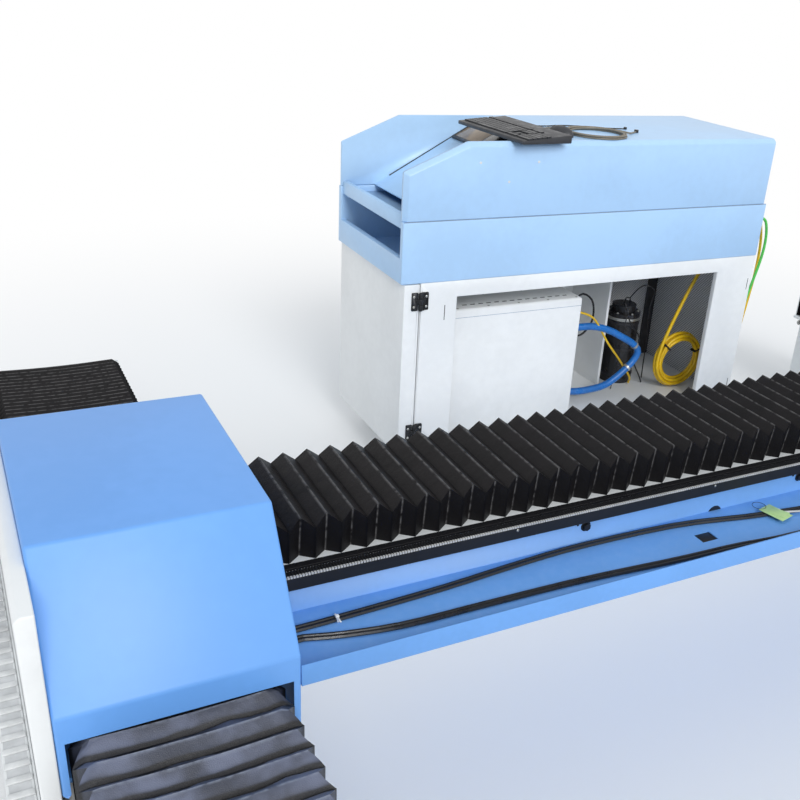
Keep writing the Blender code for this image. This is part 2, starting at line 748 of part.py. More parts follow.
def cross_beam(looks):
    """Box beam, cable tray, rack, guide rails, slide strip and the beam's two bellows."""
    reach = RAIL_SPACING / 2 - BEAM_INSET
    ys = (GANTRY_Y + BEAM_FRONT, GANTRY_Y + BEAM_REAR)
    zs = (PLATE_TOP_Z + GAP, BEAM_TOP_Z)
    beam = block("cross_beam", (-reach, reach), ys, zs, looks["blue"])
    cut(beam, block("bore", (-reach - OVERRUN, reach + OVERRUN), (ys[0] + BEAM_WALL, ys[1] - BEAM_WALL),
                    (zs[0] + BEAM_WALL, zs[1] - BEAM_WALL), None))
    inner = RAIL_SPACING / 2 - COVER_WIDTH / 2 - GAP
    tray(inner, looks["blue"])
    rack_back = GANTRY_Y + BEAM_FRONT - GAP - TRAY_SHEET - GAP
    block("beam_rack", (-inner, inner), (rack_back - RACK_SIZE, rack_back),
          (X_RACK_Z, X_RACK_Z + X_RACK_HEIGHT), looks["black"])
    seat = BEAM_TOP_Z + GAP
    for name, offset in zip(("beam_front_guide_rail", "beam_rear_guide_rail"), X_GUIDE_YS):
        outline = guide_outline(GANTRY_Y + offset, seat, X_GUIDE_WIDTH, X_GUIDE_WAIST, X_GUIDE_HEIGHT)
        prism(name, outline, "X", -inner, inner, looks["steel"])
    block("bellows_slide_strip", (-inner, inner), (ys[0], ys[0] + STRIP_WIDTH),
          (seat, seat + STRIP_THICKNESS), looks["white"])
    hem = seat + STRIP_THICKNESS + GAP
    sides = (GANTRY_Y + X_BELLOWS_FRONT, GANTRY_Y + X_BELLOWS_REAR)
    half = SADDLE_LENGTH / 2
    bellows("beam_left_bellows", "X", -inner, SADDLE_X - half - GAP, *sides, X_BELLOWS_TOP_Z, hem,
            X_BELLOWS_FOLDS, looks["pleat"])
    bellows("beam_right_bellows", "X", SADDLE_X + half + GAP, inner, *sides, X_BELLOWS_TOP_Z, hem,
            X_BELLOWS_FOLDS, looks["pleat"])
    tray_cables(inner, looks["jacket"])


def tray(inner, paint):
    """Folded cable tray: front lip, floor and back flange bolted to the beam."""
    back = GANTRY_Y + BEAM_FRONT - GAP
    lip = GANTRY_Y + TRAY_LIP
    floor_top = TRAY_FLOOR_Z + TRAY_SHEET
    outline = [
        (lip, TRAY_FLOOR_Z), (back, TRAY_FLOOR_Z), (back, TRAY_FLANGE_Z), (back - TRAY_SHEET, TRAY_FLANGE_Z),
        (back - TRAY_SHEET, floor_top), (lip + TRAY_SHEET, floor_top), (lip + TRAY_SHEET, TRAY_LIP_Z),
        (lip, TRAY_LIP_Z),
    ]
    pan = prism("cable_tray", outline, "X", -inner, inner, paint)
    half_length, half_width = SLOT_LENGTH / 2, SLOT_WIDTH / 2
    cut(pan, block("cable_slot", (SLOT_X - half_length, SLOT_X + half_length),
                   (GANTRY_Y + SLOT_Y - half_width, GANTRY_Y + SLOT_Y + half_width),
                   (TRAY_FLOOR_Z - OVERRUN, floor_top + OVERRUN), None))
    return pan


def tray_cables(inner, jacket):
    """Two pairs of cables lying in the tray, from one carriage to the other."""
    z = TRAY_FLOOR_Z + TRAY_SHEET + TRAY_CABLE / 2 + GAP
    ends = inner - GAP
    back_route = [(-ends, -0.160), (-1.334, -0.160), (-1.260, -0.158), (-1.039, -0.147), (-0.854, -0.130),
                  (-0.688, -0.121), (-0.430, -0.130), (-0.205, -0.168), (0.05, -0.190), (0.45, -0.175),
                  (0.90, -0.150), (ends, -0.154)]
    front_route = [(-ends, -0.188), (-1.334, -0.189), (-1.262, -0.208), (-1.151, -0.224), (-0.992, -0.226),
                   (-0.763, -0.230), (-0.524, -0.245), (-0.365, -0.251), (-0.207, -0.264), (0.10, -0.262),
                   (0.55, -0.235), (0.95, -0.215), (ends, -0.219)]
    for name, route in (("tray_cable_back", back_route), ("tray_cable_front", front_route)):
        for letter, shift in (("a", 0.0), ("b", -CABLE_PAIR)):
            points = [(x, GANTRY_Y + y + shift, z) for x, y in route]
            tube(f"{name}_{letter}", plugged_path(points, CABLE_POINTS), TRAY_CABLE / 2, jacket, 1)


def head_carriage(looks):
    """Saddle on the beam with its drive, vertical screw and cover."""
    half = SADDLE_LENGTH / 2
    left, right = SADDLE_X - half, SADDLE_X + half
    front, rear = GANTRY_Y + SADDLE_FRONT, GANTRY_Y + SADDLE_REAR
    top = SADDLE_Z + SADDLE_PLATE
    saddle = block("head_saddle", (left, right), (front, rear), (SADDLE_Z, top), looks["plate"])
    pad = (SADDLE_X - PAD_LENGTH / 2, SADDLE_X + PAD_LENGTH / 2)
    for offset in X_GUIDE_YS:
        middle = GANTRY_Y + offset
        join(saddle, block("pad", pad, (middle - X_BLOCK_WIDTH / 2, middle + X_BLOCK_WIDTH / 2),
                           (X_BLOCK_TOP_Z + GAP, SADDLE_Z + SADDLE_PLATE / 2), None))
    for low in (left, right - BRACKET):
        join(saddle, block("bracket", (low, low + BRACKET), (GANTRY_Y + X_BELLOWS_FRONT, rear),
                           (BRACKET_Z, SADDLE_Z + SADDLE_PLATE / 2), None))
    join(saddle, block("face", (SADDLE_X - FACE_WIDTH / 2, SADDLE_X + FACE_WIDTH / 2),
                       (front - FACE_PLATE, front), (FACE_BOTTOM_Z, FACE_TOP_Z), None))
    join(saddle, block("face_root", (SADDLE_X - FACE_WIDTH / 2, SADDLE_X + FACE_WIDTH / 2),
                       (front - FACE_PLATE / 2, front + FACE_PLATE), (SADDLE_Z, top), None))
    root, sunk = front - FACE_PLATE / 2, top - SADDLE_PLATE / 2
    gusset = [(root, sunk), (front + GUSSET_REACH, sunk), (front + GUSSET_REACH, top), (front, GUSSET_Z),
              (root, GUSSET_Z)]
    for low in (SADDLE_X - FACE_WIDTH / 2 + GUSSET / 2, SADDLE_X + FACE_WIDTH / 2 - 3 * GUSSET / 2):
        join(saddle, prism("gusset", gusset, "X", low, low + GUSSET, None))
    face = front - FACE_PLATE
    for x in (SADDLE_X - Z_RIB_X, SADDLE_X + Z_RIB_X):
        join(saddle, block("rib", (x - Z_RIB_WIDTH / 2, x + Z_RIB_WIDTH / 2),
                           (face - Z_RIB_DEPTH, face + FACE_PLATE / 2),
                           (FACE_BOTTOM_Z + Z_FOOT, FACE_TOP_Z - 2 * Z_FOOT), None))
    screw_low = SADDLE_Z - Z_FOOT
    join(saddle, block("screw_foot", (SADDLE_X - Z_FOOT_WIDTH / 2, SADDLE_X + Z_FOOT_WIDTH / 2),
                       (face - Z_FOOT_DEPTH, face + FACE_PLATE / 2), (screw_low, SADDLE_Z), None))
    join(saddle, block("screw_head", (SADDLE_X - Z_HEAD_WIDTH / 2, SADDLE_X + Z_HEAD_WIDTH / 2),
                       (face - Z_HEAD_DEPTH, face + FACE_PLATE / 2), (FACE_TOP_Z - Z_FOOT, FACE_TOP_Z), None))
    rack_back = GANTRY_Y + BEAM_FRONT - GAP - TRAY_SHEET - GAP
    rack_front = rack_back - RACK_SIZE
    axis_z = X_RACK_Z + X_RACK_HEIGHT + PINION_GAP + PINION_OUTER
    tab_back = rack_front - TAB
    join(saddle, block("tab", (SADDLE_X - TAB_WIDTH / 2, SADDLE_X + TAB_WIDTH / 2),
                       (tab_back - TAB, tab_back), (TAB_Z, SADDLE_Z + SADDLE_PLATE / 2), None))
    cut(saddle, rod("shaft_hole", SHAFT_HOLE, (SADDLE_X, axis_z), "Y", tab_back - TAB - OVERRUN,
                    tab_back + TAB / 2, None))
    rail_top = BEAM_TOP_Z + GAP + X_GUIDE_HEIGHT
    length = (SADDLE_X - X_BLOCK_LENGTH / 2, SADDLE_X + X_BLOCK_LENGTH / 2)
    for name, offset in zip(("saddle_front_guide_block", "saddle_rear_guide_block"), X_GUIDE_YS):
        outline = block_outline(GANTRY_Y + offset, X_BLOCK_Z, X_BLOCK_TOP_Z, X_BLOCK_WIDTH, X_GUIDE_WIDTH,
                                rail_top)
        prism(name, outline, "X", *length, looks["steel"])
    motor_face = tab_back - TAB - GAP
    drive("saddle_drive", "Y", (SADDLE_X, axis_z), motor_face, -1, looks["motor"])
    pinion = prism("saddle_pinion", gear_outline(SADDLE_X, axis_z), "Y", rack_front, rack_back,
                   looks["steel"])
    join(pinion, rod("shaft", PINION_SHAFT, (SADDLE_X, axis_z), "Y", motor_face + GAP,
                     rack_back - RUN_CLEARANCE, None, SHAFT_SIDES))
    vertical_screw(face, looks)
    saddle_cover(left, right, rear, top + GAP, looks["blue"])


def vertical_screw(face, looks):
    """Ball screw between the saddle's foot and head tabs, and the motor on top."""
    axis = (SADDLE_X, face - SCREW_OFF)
    low, high = SADDLE_Z + GAP, FACE_TOP_Z - Z_FOOT - GAP
    screw = rod("vertical_screw", SCREW_RADIUS, axis, "Z", low, high, looks["steel"], SHAFT_SIDES)
    join(screw, rod("collar", SCREW_COLLAR, axis, "Z", high - SCREW_COLLAR_LENGTH, high, None,
                     SHAFT_SIDES))
    motor_low = FACE_TOP_Z + GAP
    half = MOTOR_SIZE / 2
    middle = face - Z_HEAD_DEPTH / 2
    body = block("vertical_motor", (SADDLE_X - half, SADDLE_X + half), (middle - half, middle + half),
                 (motor_low, motor_low + Z_MOTOR_HEIGHT), looks["motor"])
    bevel(body, HEAD_BEVEL)


def saddle_cover(left, right, rear, bottom, paint):
    """Sheet cover over the saddle, with a sloped brow."""
    front = GANTRY_Y + SADDLE_COVER_FRONT
    top = SADDLE_COVER_TOP_Z

    def outline(inset):
        floor = bottom - (OVERRUN if inset else 0.0)
        return [(front + inset, floor), (front + inset, top - SADDLE_COVER_SLOPE),
                (front + SADDLE_COVER_SLOPE, top - inset), (rear - inset, top - inset), (rear - inset, floor)]

    shell = prism("saddle_cover", outline(0.0), "X", left + SHEET, right - SHEET, paint)
    cut(shell, prism("hollow", outline(SHEET), "X", left + 2 * SHEET, right - 2 * SHEET, None))
    return shell


def cutting_head(looks):
    """Vertical slide, laser head and nozzle."""
    face = GANTRY_Y + SADDLE_FRONT - FACE_PLATE - RUN_CLEARANCE
    front = face - SLIDE_DEPTH
    half = SLIDE_WIDTH / 2
    rib, rib_half = Z_RIB_X, Z_RIB_WIDTH / 2 + RUN_CLEARANCE
    groove = face - Z_RIB_DEPTH - RUN_CLEARANCE
    channel, floor = SLIDE_CHANNEL / 2, face - SLIDE_CHANNEL_DEPTH
    places = [(-half, face), (-half, front), (half, front), (half, face), (rib + rib_half, face),
              (rib + rib_half, groove), (rib - rib_half, groove), (rib - rib_half, face), (channel, face),
              (channel, floor), (-channel, floor), (-channel, face), (rib_half - rib, face),
              (rib_half - rib, groove), (-rib_half - rib, groove), (-rib_half - rib, face)]
    outline = [(SADDLE_X + x, y) for x, y in places]
    low, high = SLIDE_BOTTOM_Z, SLIDE_BOTTOM_Z + SLIDE_HEIGHT
    slide = prism("vertical_slide", outline, "Z", low, high, looks["plate"])
    screw_y = GANTRY_Y + SADDLE_FRONT - FACE_PLATE - SCREW_OFF
    middle = (low + high) / 2 + SLIDE_MARGIN
    join(slide, block("nut", (SADDLE_X - channel - SHEET, SADDLE_X + channel + SHEET), (floor - SHEET, face),
                      (middle, middle + NUT_LENGTH), None))
    cut(slide, rod("nut_bore", SCREW_RADIUS + RUN_CLEARANCE / 2, (SADDLE_X, screw_y), "Z",
                   middle - OVERRUN, middle + NUT_LENGTH + OVERRUN, None, SHAFT_SIDES))
    back = front - GAP
    centre = (SADDLE_X, back - HEAD_SIZE / 2)
    size = HEAD_SIZE / 2
    head = block("laser_head", (centre[0] - size, centre[0] + size), (back - HEAD_SIZE, back),
                 (HEAD_BOTTOM_Z, HEAD_BOTTOM_Z + HEAD_HEIGHT), looks["grey"])
    top = HEAD_BOTTOM_Z + HEAD_HEIGHT
    shoulder = top + COLLIMATOR_HEIGHT
    join(head, rod("collimator", COLLIMATOR_RADIUS, centre, "Z", top - HEAD_BEVEL, shoulder, None))
    join(head, rod("connector", CONNECTOR_RADIUS, centre, "Z", top, shoulder + CONNECTOR_HEIGHT, None))
    lens_low = HEAD_BOTTOM_Z - LENS_HEIGHT
    join(head, rod("lens_barrel", LENS_RADIUS, centre, "Z", lens_low, HEAD_BOTTOM_Z + HEAD_BEVEL, None))
    tip = lens_low - GAP - NOZZLE_HEIGHT
    profile = [(NOZZLE_BORE, tip), (NOZZLE_TIP, tip), (NOZZLE_RADIUS, lens_low - GAP - NOZZLE_COLLAR),
               (NOZZLE_RADIUS, lens_low - GAP), (NOZZLE_TIP, lens_low - GAP)]
    turned("nozzle", profile, centre, ROUND_SIDES, looks["brass"])


def console_place():
    """Low and high corners of the console in plan."""
    left = CONSOLE_X - CONSOLE_WIDTH / 2
    near = CONSOLE_REAR_Y - CONSOLE_DEPTH
    return left, left + CONSOLE_WIDTH, near, CONSOLE_REAR_Y


def console_base(looks):
    """White lower cabinet with its window, partition and plinth, and the pan door on its left end."""
    left, right, near, rear = console_place()
    wall = CONSOLE_WALL
    start = left + BASE_LEFT_SETBACK
    top = BASE_TOP_Z - GAP
    base = block("console_base", (start, right), (near, rear), (PLINTH_Z, top), looks["white"])
    inner_ys = (near + wall, rear - wall)
    cut(base, block("room", (start + wall, right - wall), inner_ys, (FLOOR_Z, top - wall), None))
    cut(base, block("window", (left + BASE_WINDOW_LEFT, right - BASE_WINDOW_RIGHT),
                    (near - OVERRUN, near + wall + OVERRUN), (FLOOR_Z, BASE_WINDOW_TOP_Z), None))
    cut(base, block("door_way", (start - OVERRUN, start + wall + OVERRUN), (near + 2 * wall, rear - 2 * wall),
                    (FLOOR_Z, BASE_WINDOW_TOP_Z), None))
    join(base, block("plinth", (start + PLINTH_INSET, right - PLINTH_INSET),
                     (near + PLINTH_INSET, rear - PLINTH_INSET), (0.0, (PLINTH_Z + FLOOR_Z) / 2), None))
    edge = right - PARTITION_X
    join(base, block("partition", (edge, edge + PARTITION), (near + PARTITION_FRONT, rear - wall / 2),
                     (PLINTH_Z + OVERRUN, top - wall / 2), None))
    for y in GLAND_YS:
        join(base, rod("gland", GLAND_RADIUS, (near + y + PLINTH_INSET, GLAND_LOW_Z), "X",
                       right - 2 * PLINTH_INSET, right - PLINTH_INSET + GLAND_LENGTH, None, SMALL_SIDES))
    hinge_x = start - DOOR_PLAY
    door = block("console_door", (hinge_x - DOOR_THICKNESS, hinge_x), (near, rear),
                 (DOOR_BOTTOM_Z, top - DOOR_PLAY), looks["white"])
    cut(door, block("pan", (hinge_x - DOOR_THICKNESS + DOOR_SHEET, hinge_x + OVERRUN),
                    (near + DOOR_SHEET, rear - DOOR_SHEET),
                    (DOOR_BOTTOM_Z + DOOR_SHEET, top - DOOR_PLAY - DOOR_SHEET), None))
    for low in HINGE_ZS:
        door_hinge(base, door, start - DOOR_PLAY / 2, near, low)


def door_hinge(base, door, x, near, low):
    """Three-knuckle hinge: the outer knuckles belong to the base and the middle one to the door."""
    third = HINGE_HEIGHT / 3
    axis = (x, near - HINGE_OFF)
    skin = (near - HINGE_SHEET, near + HINGE_SHEET)
    high = low + HINGE_HEIGHT
    knuckles = ((base, 1, low, low + third), (door, -1, low + third + GAP, high - third - GAP),
                (base, 1, high - third, high))
    for piece, way in ((base, 1), (door, -1)):
        leaf = tuple(sorted((x + way * HINGE_REACH, x + way * HINGE_LEAF)))
        join(piece, block("leaf", leaf, skin, (low, high), None))
    for piece, way, bottom, top in knuckles:
        tongue = tuple(sorted((x + way * HINGE_SHEET, x + way * HINGE_LEAF / 2)))
        join(piece, rod("knuckle", HINGE_BARREL, axis, "Z", bottom, top, None, SHAFT_SIDES))
        join(piece, block("tongue", tongue, (near - HINGE_OFF, skin[1]), (bottom, top), None))


def console_ring(looks):
    """Blue middle ring: four walls on a floor, low at the operator's end, with runners for the drawer."""
    left, right, near, rear = console_place()
    wall = CONSOLE_WALL
    ring = block("console_ring", (left, right), (near, rear), (BASE_TOP_Z, RING_TOP_Z - GAP), looks["blue"])
    floor = BASE_TOP_Z + RING_FLOOR
    cut(ring, block("room", (left + wall, right - wall), (near + wall, rear - wall),
                    (floor, RING_TOP_Z + OVERRUN), None))
    cut(ring, block("mouth", (left - OVERRUN, left + wall + OVERRUN), (near + wall, rear - wall),
                    (RING_LIP_Z, RING_TOP_Z + OVERRUN), None))
    length = (left + wall, left + wall + TRAY_SLIDE_LENGTH)
    rest = TRAY_SLIDE_Z - GAP
    for low, high in ((near + wall / 2, near + wall + RUNNER), (rear - wall - RUNNER, rear - wall / 2)):
        join(ring, block("runner", length, (low, high), (rest - RUNNER, rest), None))
    for y in GLAND_YS:
        join(ring, rod("gland", GLAND_RADIUS, (near + y, GLAND_HIGH_Z), "X", right - wall / 2,
                       right + GLAND_LENGTH, None, SMALL_SIDES))
    return ring


def keyboard_drawer(looks):
    """Pull-out shelf with a raised front bar."""
    left, _, near, rear = console_place()
    wall = CONSOLE_WALL + TRAY_SLIDE_PLAY
    front = left + TRAY_SLIDE_SETBACK
    lip_low, lip_high = TRAY_SLIDE_Z, TRAY_SLIDE_LIP_Z
    sheet = TRAY_SLIDE_SHEET
    end = front + TRAY_SLIDE_LENGTH
    round_off = sheet / 2
    bar = front + TRAY_SLIDE_LIP
    outline = [(front, lip_low), (end, lip_low), (end, lip_low + sheet), (bar, lip_low + sheet),
               (bar, lip_high - round_off), (bar - round_off, lip_high), (front + round_off, lip_high),
               (front, lip_high - round_off)]
    prism("keyboard_drawer", outline, "Y", near + wall, rear - wall, looks["blue"])


def console_top(looks):
    """Blue top: side walls with a sloped front edge, the operator's long sloped panel and a flat roof."""
    left, right, near, rear = console_place()
    wall = CONSOLE_WALL
    outline = [(left, RING_TOP_Z), (right, RING_TOP_Z), (right, RIM_Z), (left + SLOPE_RUN, RIM_Z),
               (left, SLOPE_START_Z)]
    top = prism("console_top", outline, "Y", near, rear, looks["blue"])
    chamfer_above(top, RING_TOP_Z, RIM_CHAMFER)
    foot_z = RING_TOP_Z + PANEL_EDGE
    overrun_run = OVERRUN * (PANEL_END - PANEL_START) / (RIM_Z - foot_z)
    well = [(left - OVERRUN, RING_TOP_Z - OVERRUN), (left + PANEL_START, RING_TOP_Z - OVERRUN),
            (left + PANEL_START, foot_z), (left + PANEL_END + overrun_run, RIM_Z + OVERRUN),
            (left - OVERRUN, RIM_Z + OVERRUN)]
    cut(top, prism("well", well, "Y", near + wall, rear - wall, None))
    cut(top, block("hollow", (left + TOP_HOLLOW_START, right - wall), (near + wall, rear - wall),
                   (RING_TOP_Z - OVERRUN, TOP_HOLLOW_Z), None))
    return top


def console_inside(looks):
    """Laser source, chiller pump, perforated panel, coolant hose and fibre coil."""
    left, right, near, rear = console_place()
    seat = FLOOR_Z + GAP
    x, y = left + SOURCE_X, near + SOURCE_Y
    source = block("laser_source", (x, x + SOURCE_WIDTH), (y, y + SOURCE_DEPTH), (seat, SOURCE_TOP_Z),
                   looks["white"])
    bevel(source, SOURCE_BEVEL, 1)
    centre = (right - PUMP_X, near + PUMP_Y)
    shoulder = seat + PUMP_HEIGHT - PUMP_CAP_HEIGHT
    pump = rod("chiller_pump", PUMP_RADIUS, centre, "Z", seat, shoulder, looks["jacket"])
    join(pump, rod("cap", PUMP_CAP_RADIUS, centre, "Z", shoulder - SHEET, seat + PUMP_HEIGHT, None))
    panel_x = right - PANEL_X
    back = rear - CONSOLE_WALL - GAP
    block("perforated_panel", (panel_x, panel_x + PANEL_WIDTH), (back - PANEL_THICKNESS, back),
          (seat, seat + PANEL_HEIGHT), looks["grey"])
    hose_x = x + SOURCE_WIDTH + GAP
    hose_y = y + SOURCE_DEPTH / 2
    low, high = HOSE_LOW_Z, HOSE_HIGH_Z
    third, fall, lane = HOSE_REACH / 3, (high - low) / 6, hose_y - HOSE_RADIUS
    route = [(hose_x, hose_y, high), (hose_x + HOSE_RADIUS, hose_y, high), (hose_x + third, lane, high),
             (hose_x + 2 * third, lane, high - fall), (hose_x + HOSE_REACH, lane, (low + high) / 2),
             (hose_x + 2 * third, lane, low + fall / 2), (hose_x + third, lane, low),
             (hose_x + HOSE_RADIUS, hose_y, low), (hose_x, hose_y, low)]
    tube("coolant_hose", plugged_path(route, HOSE_POINTS), HOSE_RADIUS, looks["hose"], 2)
    fibre_coil(right - COIL_X, near + COIL_Y, looks["yellow"])


def fibre_coil(x, y, jacket):
    """Coiled fibre standing on edge on the floor of the console, with its riser to the roof."""
    shape = bmesh.new()
    z = FLOOR_Z + GAP + COIL_RADIUS + COIL_ROPE
    sides = COIL_SIDES
    rings = []
    for step in range(COIL_STEPS):
        angle = 2.0 * math.pi * step / COIL_STEPS
        ring = []
        for place in range(sides):
            turn = 2.0 * math.pi * place / sides
            reach = COIL_RADIUS + COIL_ROPE * math.cos(turn)
            ring.append(shape.verts.new((x + reach * math.cos(angle), y + COIL_ROPE * math.sin(turn),
                                         z + reach * math.sin(angle))))
        rings.append(ring)
    for step, ring in enumerate(rings):
        other = rings[(step + 1) % COIL_STEPS]
        for place in range(sides):
            following = (place + 1) % sides
            shape.faces.new((ring[place], other[place], other[following], ring[following]))
    coil = from_bmesh("fibre_coil", shape, jacket)
    roof = BASE_TOP_Z - GAP - CONSOLE_WALL - GAP
    riser = rod("riser", FIBRE_RADIUS, (x + COIL_RADIUS / 2, y), "Z", z + COIL_RADIUS - COIL_ROPE, roof, None,
                SMALL_SIDES)
    join(coil, riser)
    return coil


def turned_place(x, y, angle, points):
    """Turn plan points about their own centre and set them down at x, y."""
    spin = Matrix.Rotation(angle, 2)
    return [tuple(Vector((x, y)) + spin @ Vector(point)) for point in points]


def desk_things(looks):
    """Keyboard, mouse and the coiled lead on the console's top."""
    left, _, near, _ = console_place()
    seat = RIM_Z + GAP
    half, width = KEYBOARD_LENGTH / 2, KEYBOARD_WIDTH / 2
    corners = [(-half, -width), (half, -width), (half, width), (-half, width)]
    places = turned_place(left + KEYBOARD_X, near + KEYBOARD_Y, KEYBOARD_TURN, corners)
    keyboard = prism("keyboard", places, "Z", seat, seat + KEYBOARD_BACK, looks["grey"])
    wedge = [(-width - OVERRUN, KEYBOARD_FRONT), (width + OVERRUN, KEYBOARD_BACK + SHEET),
             (width + OVERRUN, 2 * KEYBOARD_BACK), (-width - OVERRUN, 2 * KEYBOARD_BACK)]
    cutter = prism("wedge", wedge, "X", -half - OVERRUN, half + OVERRUN, None)
    cutter.matrix_world = (Matrix.Translation((left + KEYBOARD_X, near + KEYBOARD_Y, seat))
                           @ Matrix.Rotation(KEYBOARD_TURN, 4, "Z"))
    cut(keyboard, cutter)
    mouse(left + MOUSE_X, near + MOUSE_Y, seat, looks["grey"])
    rope, radius = LEAD_COIL_ROPE, LEAD_COIL_RADIUS
    middle = seat + rope
    profile = circle(rope, radius, middle, ROPE_SIDES)
    turned("lead_coil", profile, (left + LEAD_COIL_X, near + LEAD_COIL_Y), ROUND_SIDES, looks["jacket"])


def mouse(x, y, seat, material):
    """A low domed hand mouse: stacked rings that draw in towards the top."""
    shape = bmesh.new()
    heights = (0.0, 0.45, 0.80, 1.0)
    shrink_shares = (0.94, 1.0, 0.84, 0.46)
    sides = SHAFT_SIDES
    rings = []
    for height, share in zip(heights, shrink_shares):
        points = [(px * MOUSE_WIDTH, py * MOUSE_LENGTH) for px, py in circle(share / 2, 0.0, 0.0, sides)]
        rings.append([shape.verts.new((px, py, seat + height * MOUSE_HEIGHT))
                      for px, py in turned_place(x, y, MOUSE_TURN, points)])
    for lower, upper in zip(rings, rings[1:]):
        for place in range(sides):
            following = (place + 1) % sides
            shape.faces.new((lower[place], lower[following], upper[following], upper[place]))
    shape.faces.new(rings[0])
    shape.faces.new(rings[-1])
    return from_bmesh("mouse", shape, material)


def side_cables(looks):
    """Two cables that hang in a bow down the console's right end, from gland to gland."""
    _, right, near, _ = console_place()
    top_x = right + GLAND_LENGTH + GAP
    low_x = right - PLINTH_INSET + GLAND_LENGTH + GAP
    routes = {
        "green_cable": (GLAND_YS[0], (
            (0.0, 0.0), (0.010, 0.0), (0.045, -0.022), (0.066, -0.090), (0.064, -0.180), (0.030, -0.345),
            (0.014, -0.480), (0.014, -0.620), (0.018, -0.730), (0.010, -0.785), (-0.012, -0.802),
            (-0.030, -0.802))),
        "yellow_cable": (GLAND_YS[1], (
            (0.0, 0.0), (0.010, 0.0), (0.050, -0.028), (0.078, -0.120), (0.084, -0.240), (0.074, -0.380),
            (0.060, -0.520), (0.050, -0.660), (0.032, -0.765), (0.012, -0.795), (-0.012, -0.802),
            (-0.030, -0.802))),
    }
    for name, (offset, places) in routes.items():
        steps = len(places) - 3
        points = []
        for number, (x, z) in enumerate(places):
            share = min(max((number - 1) / steps, 0.0), 1.0)
            points.append((top_x + x, near + offset + PLINTH_INSET * share, GLAND_HIGH_Z + z))
        points[-1] = (low_x, near + offset + PLINTH_INSET, GLAND_LOW_Z)
        colour = looks["green"] if name == "green_cable" else looks["yellow"]
        tube(name, plugged_path(points, SIDE_CABLE_POINTS), SIDE_CABLE / 2, colour, 2)


def main():
    """Build the whole machine."""
    clear_scene()
    looks = make_finishes()
    for prefix, side in (("left", LEFT), ("right", RIGHT)):
        rail_base(prefix, side, looks["white"])
        rail_fittings(prefix, side, looks)
        carriage(prefix, side, looks)
    cross_beam(looks)
    head_carriage(looks)
    cutting_head(looks)
    console_base(looks)
    console_ring(looks)
    keyboard_drawer(looks)
    console_top(looks)
    console_inside(looks)
    desk_things(looks)
    side_cables(looks)


main()
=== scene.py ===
"""Looks of the moving-gantry laser cutting machine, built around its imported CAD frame."""

import logging
import math
from contextlib import contextmanager
from dataclasses import dataclass, field
from enum import Enum
from typing import Iterator, NamedTuple

import bmesh
import bpy
from mathutils import Matrix, Vector, noise


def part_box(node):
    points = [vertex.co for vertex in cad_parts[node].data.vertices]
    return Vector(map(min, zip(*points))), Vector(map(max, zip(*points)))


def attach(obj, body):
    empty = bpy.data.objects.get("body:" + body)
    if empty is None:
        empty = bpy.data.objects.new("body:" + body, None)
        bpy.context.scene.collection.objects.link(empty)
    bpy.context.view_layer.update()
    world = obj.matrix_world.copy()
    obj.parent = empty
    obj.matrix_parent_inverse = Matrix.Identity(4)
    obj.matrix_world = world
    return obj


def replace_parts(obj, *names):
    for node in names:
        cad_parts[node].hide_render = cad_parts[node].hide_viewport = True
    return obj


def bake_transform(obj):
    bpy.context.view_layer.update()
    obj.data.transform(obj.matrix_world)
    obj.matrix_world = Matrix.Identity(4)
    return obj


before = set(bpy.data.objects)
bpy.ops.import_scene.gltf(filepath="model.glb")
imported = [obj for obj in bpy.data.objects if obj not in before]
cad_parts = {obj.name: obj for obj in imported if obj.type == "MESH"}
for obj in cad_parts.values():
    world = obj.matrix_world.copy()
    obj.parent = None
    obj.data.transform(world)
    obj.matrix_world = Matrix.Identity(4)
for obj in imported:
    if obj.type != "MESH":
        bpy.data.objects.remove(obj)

LOG = logging.getLogger("laser_machine")
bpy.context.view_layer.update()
BEVEL_ANGLE = math.radians(30.0)
SMOOTH_ANGLE = math.radians(35.0)
FACING_SHARE = 0.98
LEVEL_GAP = 0.00002
LEAST_INSET = 0.00001


class Axis(Enum):
    """A row axis, with its number in a vector."""

    X = 0
    Y = 1
    Z = 2


class Side(Enum):
    """Which way a face or a fitting looks."""

    FRONT = (0.0, -1.0, 0.0)
    BACK = (0.0, 1.0, 0.0)
    LEFT = (-1.0, 0.0, 0.0)
    RIGHT = (1.0, 0.0, 0.0)
    UP = (0.0, 0.0, 1.0)

    def at(self, place: tuple) -> Matrix:
        """The place for a part that was made looking up."""
        turn = Vector(self.value).to_track_quat("Z", "Y").to_matrix().to_4x4()
        return Matrix.Translation(place) @ turn


class Body(Enum):
    """The CAD bodies that pieces ride on."""

    BASE = "base"
    GANTRY = "gantry"
    SADDLE = "saddle"
    HEAD = "cutting_head"
    DOOR = "door"
    DRAWER = "drawer"
    LEFT_PINION = "left_pinion_body"
    RIGHT_PINION = "right_pinion_body"
    SADDLE_PINION = "saddle_pinion_body"
    SCREW = "screw_body"


# Shader building


